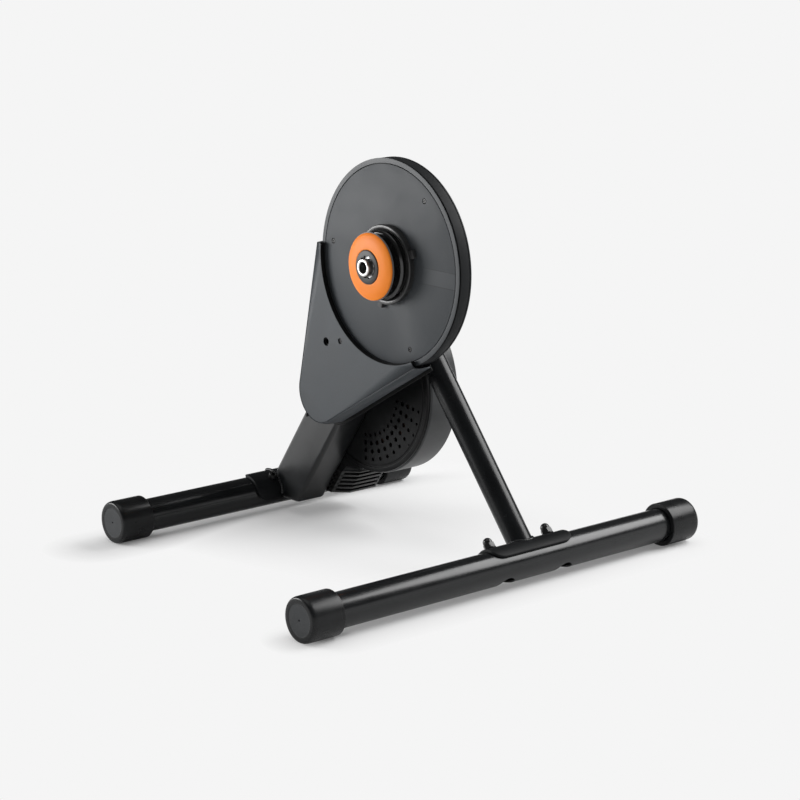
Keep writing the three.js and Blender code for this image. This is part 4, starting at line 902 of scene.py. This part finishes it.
def lockring():
    steps, (start, end), bore = lock["steps"], lock["notchSpan"], []
    sides = lock["notches"] * steps
    for k in range(sides):
        notch = lock["notch"] if start < k % steps / steps < end else 0.0
        bore.append(around(axleAt, lock["bore"] + notch, fullTurn * k / sides))
    lofted("lockring_ring", [(circle(axleAt, radius, 96), y) for radius, y in lock["rings"]], "lockBlack",
           holes=[bore], body="freehub", stands=["lockring"])


lockring()
endCaps = dict(
    profile=[  # radius, depth from the outer end, rounding
        (6.2, 0.7, 0), (7.0, 0, 0.4), (9.0, 0, 0.7), (9.75, 0.8, 0.4), (9.75, 6.8, 0.3), (9.1, 7.1, 0.2),
        (9.1, 8.0, 0.2), (9.5, 8.3, 0.1), (9.5, 8.5, 0), (7.1, 8.5, 0), (7.1, 16.5, 0), (6.2, 16.5, 0)],
    places={"drive_end_cap": (-59, 1), "left_end_cap": (83, -1)},
)
for node, (outer, inward) in endCaps["places"].items():
    turned(node + "_turned", [(radius, outer + inward * depth, size) for radius, depth, size in endCaps["profile"]],
           axleAt, "axleSteel", sides=96, stands=[node])
print("pulley and guards built")

# Belt: a band with a crowned outer face, round both pulleys
belt = dict(near=-19.2, width=13, seat=0.3, thickness=2.6, bigRadius=113.5, smallRadius=20, steps=220, straight=40)


def beltPath(rise):
    bigRadius, smallRadius, straight = belt["bigRadius"] + rise, belt["smallRadius"] + rise, belt["straight"]
    across = Vector(shaftAt) - Vector(axleAt)
    turn, half = math.atan2(across.y, across.x), math.acos((bigRadius - smallRadius) / across.length)
    big = arc(axleAt, bigRadius, turn + half, turn - half + fullTurn, belt["steps"])
    small = arc(shaftAt, smallRadius, turn - half, turn + half, belt["steps"] // 4)

    def run(start, end):
        return [tuple(Vector(start).lerp(Vector(end), k / straight)) for k in range(1, straight)]
    return big + run(big[-1], small[0]) + small + run(small[-1], big[0])


def beltLoop():
    low, high = belt["near"], belt["near"] + belt["width"]
    section = [(0.0, low), (0.72, low), (0.9, low + 0.4), (0.97, low + 1.6), (1.0, (low + high) / 2),
               (0.97, high - 1.6), (0.9, high - 0.4), (0.72, high), (0.0, high)]
    points = []
    inner, outer = beltPath(belt["seat"]), beltPath(belt["seat"] + belt["thickness"])
    for a, b in zip(inner, outer):
        for depth, y in section:
            spot = Vector(a).lerp(Vector(b), depth)
            points.append((spot.x, y, spot.y))
    makePiece("belt_loop", points, quads(len(inner), len(section), looped=True), "beltRubber",
              stands=["drive_belt"], smooth=35)


beltLoop()

# Belt guard: one folded skin with a chamfered edge, a black band of painted shade at its mouth, two holes and a corner
# clip
guard = dict(
    face=-28.7, back=-4.2, wall=1.6, left=119.4, right=121, corner=(shaftAt[0] - 7.5, shaftAt[1] - 3.7), round=38,
    chamfer=2.2, chamferDepth=9, mouth=111.5, lip=-23.4, tip=345, endReach=118.7, endPlace=-65.46, endTurn=-57.8,
    powerHole=((axleAt[0] - 102.4, axleAt[1] - 102.7), 5), lightHole=((axleAt[0] - 77.4, axleAt[1] - 98.2), 3.4),
    holeDepth=1.6, mouthSteps=120, edgingSteps=140, clip=(-100.8, 139.5),
)


# The cut at the guard's right end: a point on it and its direction, seen from the axle
def guardEnd():
    return (Vector(around((0, 0), guard["endReach"], math.radians(guard["endPlace"]))),
            Vector(around((0, 0), 1, math.radians(guard["endTurn"]))))


def guardSides(margin, steps=40):
    toCorner = Vector(guard["corner"]) - Vector(axleAt)
    turn, distance = math.atan2(toCorner.y, toCorner.x), toCorner.length
    corner, left, right = (guard[key] + margin for key in ("round", "left", "right"))
    leftTurn = turn - math.acos((left - corner) / distance)
    rightTurn = turn + math.acos((right - corner) / distance)
    tip = guard["tip"] - axleAt[1]
    start = (axleAt[0] + (left - tip * math.sin(leftTurn)) / math.cos(leftTurn), guard["tip"])
    at, way = guardEnd()
    normal = Vector(around((0, 0), 1, rightTurn))
    end = at + way * ((right - at.dot(normal)) / way.dot(normal))
    return ([start] + arc(guard["corner"], corner, leftTurn, rightTurn, steps)
            + [(axleAt[0] + end.x, axleAt[1] + end.y)])


def guardMouth(radius, steps):
    high = math.pi - math.asin((guard["tip"] - axleAt[1]) / radius)
    at, way = guardEnd()
    along = at.dot(way)
    end = at + way * (math.sqrt(along ** 2 - at.length_squared + radius ** 2) - along)
    return arc(axleAt, radius, math.atan2(end.y, end.x), high - fullTurn, steps)


def guardSkin():
    build = bmesh.new()
    face, back, chamfer, depth = picked(guard, "face back chamfer chamferDepth")
    rings = [(-chamfer - 1.7, face), (-chamfer - 1.15, face + 0.75), (-chamfer - 0.6, face + 0.85),
             (-chamfer - 0.25, face + 0.1)]
    for bend in (k / 6 for k in range(1, 7)):
        rings.append((-chamfer + chamfer * (0.75 * bend + 0.25 * math.sin(bend * quarterTurn)) - 0.1 * (1 - bend),
                      face + 0.1 + (depth - 0.1) * bend))
    rings += [(0, back - 0.5), (-0.4, back)]
    rows = [rowOf(build, guardSides(margin), y) for margin, y in rings]
    mouth = rowOf(build, guardMouth(guard["mouth"], guard["mouthSteps"]), face)
    mouthTurn = rowOf(build, guardMouth(guard["mouth"] - 0.15, guard["mouthSteps"]), face + 0.4)
    for low, high in list(zip(rows, rows[1:])) + [(mouthTurn, mouth)]:
        wallBetween(build, low, high, closed=False)
    loops = [rows[0] + mouth]
    for centre, radius in (guard["powerHole"], guard["lightHole"]):
        hole = rowOf(build, circle(centre, radius), face)
        inside, deep = (rowOf(build, circle(centre, radius - 0.15), face + y) for y in (0.3, guard["holeDepth"]))
        wallBetween(build, inside, hole)
        wallBetween(build, deep, inside)
        loops.append(hole)
    fillLoops(build, loops)
    mesh = settle(build, bpy.data.meshes.new("guard_shell"))
    front = next(face for face in mesh.polygons if abs(face.normal.y) > 0.99 and len(face.vertices) == 3)
    if front.normal.y > 0:  # the skin is thickened inwards, so its faces have to look out
        mesh.flip_normals()
    piece = finishMesh("guard_shell", mesh, "guardGrey", stands=["belt_guard"], smooth=24)
    wall = piece.modifiers.new("wall", "SOLIDIFY")
    wall.thickness = guard["wall"] * mm
    wall.offset = -1
    wall.use_even_offset = True


# A black band round the guard's mouth, down towards the pulley's rim: painted shade for the shadowed gap and rim there
def mouthShadeBand():
    mouth, face, lip, steps = picked(guard, "mouth face lip edgingSteps")
    rings = [(mouth + 0.9, face + 1.7), (mouth - 0.3, face + 1.7), (mouth - 0.3, face - 0.15),
             (mouth - 0.75, face - 0.35), (mouth - 1, face + 0.2), (mouth - 1, lip), (mouth + 0.9, lip)]
    lines = [atY(guardMouth(radius, steps), y) for radius, y in rings]
    points = [line[k] for k in range(steps + 1) for line in lines]
    faces = quads(steps + 1, len(rings)) + ends(steps + 1, len(rings))
    makePiece("guard_mouth_shade_band", points, faces, "blackPlasticAndShade", smooth=30)


guardSkin()
mouthShadeBand()
turned("guard_corner_clip", [
    (0, guard["face"] - 1), (1.9, guard["face"] - 1, 0.5), (2.1, guard["face"] + 1.5, 0.3), (0, guard["face"] + 1.5),
], guard["clip"], "blackPlasticAndShade", sides=32)
print("belt guard built")

# Flywheel
flywheel = dict(radius=108, near=43, far=84, bore=8.8, hub=24, hubNear=59, web=73, ring=95, dish=(28.5, 30, 92, 95.5))


def flywheelDrum():
    radius, near, far, bore, dish = picked(flywheel, "radius near far bore dish")
    hub, hubNear, web, ring = picked(flywheel, "hub hubNear web ring")
    turned("flywheel_drum", [
        (bore, hubNear), (hub, hubNear, 1), (hub, web, 3), (ring, web, 2), (ring, near, 0.6), (106.6, near, 0.8),
        (radius, near + 1.5, 0.9), (radius, far - 1.6, 0.9), (106.4, far, 0.9), (dish[3], far, 1),
        (dish[2], far - 3, 3), (dish[1], far - 3, 1), (dish[0], far - 2, 1), (bore + 1, far - 2, 0.6),
        (bore, far - 3, 0.3),
    ], shaftAt, "flywheelBlack", sides=fineSides, body="flywheel", stands=["flywheel"])


flywheelDrum()

# Brake cover: a perforated plate in a grooved ring; the vents stand on spokes round a point beside the shaft
brake = dict(
    radius=106.7, ring=5.7, groove=3.5, near=38.7, plate=40.2, far=41.6, bore=9.7,
    back=4.7, drop=5.65, first=57.9, step=9.6, turn=-7.9, spoke=-9.06, spokes=10,
    vents=(2.1, 2.9, 2.8, 2.4, 1.9), margin=0.4, smallest=1.1,
)
ringBore = brake["radius"] - brake["ring"]
grooveBore = ringBore - brake["groove"]


def brakeVents():
    holes = []
    middle = (shaftAt[0] - brake["back"], shaftAt[1] - brake["drop"])
    for spoke in range(brake["spokes"]):
        turn = math.radians(brake["turn"] + brake["spoke"] * spoke)
        for k, radius in enumerate(brake["vents"]):
            place = around(middle, brake["first"] + brake["step"] * k, turn)
            room = grooveBore - brake["margin"] - math.hypot(place[0] - shaftAt[0], place[1] - shaftAt[1])
            if room > brake["smallest"]:
                holes.append(circle(place, min(radius, room), 16))
    return holes


def brakeCover():
    near, far, radius = brake["near"], brake["far"], brake["radius"]
    lofted("brake_plate", [(circle(shaftAt, grooveBore, 160), y) for y in (near, brake["plate"])], "brakeBlackAndShade",
           holes=[circle(shaftAt, brake["bore"], 48)] + brakeVents(), stands=["brake_cover"])
    turned("brake_ring", [
        (grooveBore - 0.2, near + 0.02), (grooveBore + 0.4, near + 0.9, 0.3), (ringBore - 0.3, near + 0.9, 0.3),
        (ringBore + 0.3, near - 0.1, 0.6), (radius - 0.2, near, 0.9), (radius, far), (grooveBore - 0.2, far),
    ], shaftAt, "brakeBlackAndShade", sides=fineSides)


brakeCover()
print("flywheel and brake built")

# Lower housing: a louvred front, and dark pieces of painted shade above it: a plain neck up to the brake and a web
# that joins the brake cover
housing = dict(
    back=-0.1, nearOut=30, frontOut=43.2, near=38.7, fold=54.5, far=94, bottom=25.5, top=56.2, slots=5,
    firstSlot=52.7, slotStep=5.75, slotHeight=2.9, depth=3.4, post=2.6, neckTop=64, webNear=39, webFar=41.4,
    webCorners=((22, 52), (29.4, 56.4), (32, 63.8)), webBack=(-86, 63.8), webSpan=(-97.5, -119), webOverlap=0.2,
)


def housingPoint(out, y, z):
    up = (z - axleAt[1] - beamOut[1] * out) / beamUp[1]
    return (axleAt[0] + beamOut[0] * out + beamUp[0] * up, y, z)


# A block with its plan given as (distance out from the beam, y), its flat ends a little smaller
def housingBlock(plan, low, high, edge=0.35):
    middle = Vector([sum(values) / len(plan) for values in zip(*plan)])
    points = []
    for inset, z in ((edge, low), (0, low + edge), (0, high - edge), (edge, high)):
        for corner in map(Vector, plan):
            points.append(housingPoint(*(corner - (corner - middle).normalized() * inset), z))
    return points, quads(4, len(plan)) + ends(4, len(plan))


def housingPlan(inset, nearInset=0.0):
    back, near, fold = housing["back"], housing["near"] + nearInset, housing["fold"] + inset * 0.4
    front, far = housing["frontOut"] - inset, housing["far"] - inset * 0.4
    return [(back, near), (housing["nearOut"] - inset * 0.5, near), (front, fold), (front, far), (back, far)]


def joined(name, blocks, finish, stands=()):
    points, faces = [], []
    for some, sides in blocks:
        faces += [[k + len(points) for k in face] for face in sides]
        points += some
    makePiece(name, points, faces, finish, stands=stands, smooth=30)


def lowerHousing():
    near, out, front, far, post, bottom, top = picked(housing, "near nearOut frontOut far post bottom top")
    half = housing["slotHeight"] / 2
    slots = [housing["firstSlot"] - housing["slotStep"] * k for k in range(housing["slots"])]
    edges = [top] + [z for slot in slots for z in (slot + half, slot - half)] + [bottom]
    blocks = [housingBlock(housingPlan(0), low, high) for high, low in zip(edges[::2], edges[1::2])]
    slope = (front - out) / (housing["fold"] - near)
    for plan in ([(out - 6, near), (out, near), (out + post * slope, near + post), (out - 4, near + post)],
                 [(front - 5, far - 2.4), (front, far - 2.4), (front, far), (front - 5, far)]):
        blocks.append(housingBlock(plan, bottom + 1, top - 1, 0.1))
    joined("housing_louvres", blocks, "housingBlack", ["lower_housing"])
    # The core behind the louvres is darker than the louvres: painted shade in the slots
    joined("housing_core_slot_shade", [housingBlock(housingPlan(housing["depth"], 0.4), bottom + 0.6, top - 0.6)], "blackPlasticAndShade")
    # The neck above the louvres is a dark piece of painted shade up to the brake
    joined("housing_neck_shade", [housingBlock(housingPlan(0.8, 0.2), top - 0.1, housing["neckTop"])], "brakeBlackAndShade")


# A dark sheet from the housing to the brake cover: painted shade over the dark gap there
def brakeShadeWeb():
    start, end = (math.radians(angle) for angle in housing["webSpan"])
    outline = ([housingPoint(out, 0, z)[::2] for out, z in housing["webCorners"]] + [housing["webBack"]]
               + arc(shaftAt, brake["radius"] + housing["webOverlap"], start, end, 10))
    lofted("brake_shade_web", [(outline, housing["webNear"]), (outline, housing["webFar"])], "brakeBlackAndShade", smooth=30)


lowerHousing()
brakeShadeWeb()
print("lower housing built")

# Floor, lamps and background
studio = dict(
    floorSize=60, floorShade=0.90, backdrop=0.913, worldLight=0.20, groundShare=0.88, machineShare=0.8,
    barPlace=(0.206, 0.255), barReach=(0.008, 0.062), machineLine=((-0.2, 0.02), (-0.02, 0.065)),
    machineReach=(0.05, 0.22), mirrorReach=(0.35, 0.8),
    backdropTop=(0.0, 0.05), backdropTurn=(-0.2, 0.45), backdropRise=0.24, roomLight=0.05,
    lamps=dict(
        keyRight=dict(place=(0.82, 1.60, 1.63), target=(0.1, 0, 0.1), size=(1.55, 1.35), power=48),
        overhead=dict(place=(-0.3, -0.3, 2.3), target=(0, 0, 0), size=(1.8, 1.8), power=11),
        leftFront=dict(place=(-1.15, -1.05, 0.42), target=(0, 0, 0.25), size=(0.8, 0.6), power=18),
    ),
)


# Camera, glossy and transmission rays see the pale background
def seenRays(finish):
    camera, glossy, through = [finish.node("ShaderNodeLightPath", out=f"Is {kind} Ray")
                               for kind in ("Camera", "Glossy", "Transmission")]
    return finish.count("ADD", camera + glossy, through, clamp=True)


# How far a point of the floor is from the two floor bars
def barDistance(finish):
    across, along = [finish.count("ABSOLUTE", finish.axis(axis)) - place
                     for axis, place in zip("XY", studio["barPlace"])]
    past = finish.count("MAXIMUM", along, 0.0)
    return finish.count("SQRT", across * across + past * past)


# How far it is from a line between two points
def lineDistance(finish, start, end):
    run = Vector(end) - Vector(start)
    way = run.normalized()
    x, y = finish.axis("X") - start[0], finish.axis("Y") - start[1]
    along = x * way.x + y * way.y
    inside = finish.node("ShaderNodeClamp", {}, {0: along, 1: 0.0, 2: run.length})
    side, past = x * way.y - y * way.x, along - inside
    return finish.count("SQRT", side * side + past * past)


# Paper that keeps the object's shadow near it and turns into the plain background further out
def makeFloor():
    size = studio["floorSize"] / 2
    mesh = bpy.data.meshes.new("floor")
    mesh.from_pydata([(-size, -size, 0), (size, -size, 0), (size, size, 0), (-size, size, 0)], [], [(0, 1, 2, 3)])
    floor = addObject("floor", mesh)
    finish = Finish("floorPaper")
    fibres = finish.span(finish.noise(700), 0.3, 0.7)
    finish.feed(Base_Color=finish.mix(fibres, grey(studio["floorShade"] - 0.005), grey(studio["floorShade"] + 0.005)),
                Roughness=0.9, Specular_IOR_Level=0.0)
    nearBars = 1 - finish.span(barDistance(finish), *studio["barReach"])
    away = lineDistance(finish, *studio["machineLine"])
    nearMachine = (1 - finish.span(away, *studio["machineReach"])) * studio["machineShare"]
    glossy = finish.node("ShaderNodeLightPath", out="Is Glossy Ray")
    mirrored = (1 - finish.span(away, *studio["mirrorReach"])) * glossy
    ground = finish.count("MAXIMUM", nearBars, nearMachine) * studio["groundShare"]
    ground = finish.count("MAXIMUM", ground, mirrored)
    paper = Wire(finish.tree, finish.shader.outputs[0])
    plain = finish.node("ShaderNodeEmission", {}, {"Color": grey(studio["backdrop"]), "Strength": 1.0})
    mixed = finish.blend((1 - ground) * seenRays(finish), paper, plain)
    finish.tree.links.new(mixed.socket, finish.tree.nodes["Material Output"].inputs[0])
    mesh.materials.append(finish.material)


# The world: a pale backdrop, higher on the right, with a dim room over it; soft light for the rest
def makeWorld():
    world = bpy.data.worlds.new("studio")
    bpy.context.scene.world = world
    world.use_nodes = True
    world.node_tree.nodes.clear()
    finish = Finish("studio", world.node_tree)
    light, backdrop, room = [
        finish.node("ShaderNodeBackground", {}, {"Color": grey(level), "Strength": strength})
        for level, strength in ((1, studio["worldLight"]), (studio["backdrop"], 1.0), (studio["roomLight"], 1.0))]
    way = finish.node("ShaderNodeTexCoord", out=0)
    right, height = [finish.node("ShaderNodeSeparateXYZ", {}, {0: way}, out=k) for k in (0, 2)]
    height = height - finish.span(right, *studio["backdropTurn"]) * studio["backdropRise"]
    seen = finish.blend(finish.span(height, *studio["backdropTop"]), backdrop, room)
    mixed = finish.blend(seenRays(finish), light, seen)
    output = finish.tree.nodes.new("ShaderNodeOutputWorld")
    finish.tree.links.new(mixed.socket, output.inputs[0])


def makeLamp(name, place, target, size, power):
    lamp = addObject(name, bpy.data.lights.new(name, "AREA"))
    lamp.data.shape = "RECTANGLE"
    lamp.data.size, lamp.data.size_y = size
    lamp.data.energy = power
    aim(lamp, place, Vector(target) - Vector(place))


makeFloor()
makeWorld()
for lampName, plan in studio["lamps"].items():
    makeLamp(lampName, **plan)
bpy.context.scene.view_settings.view_transform = "Standard"

print("scene ready")
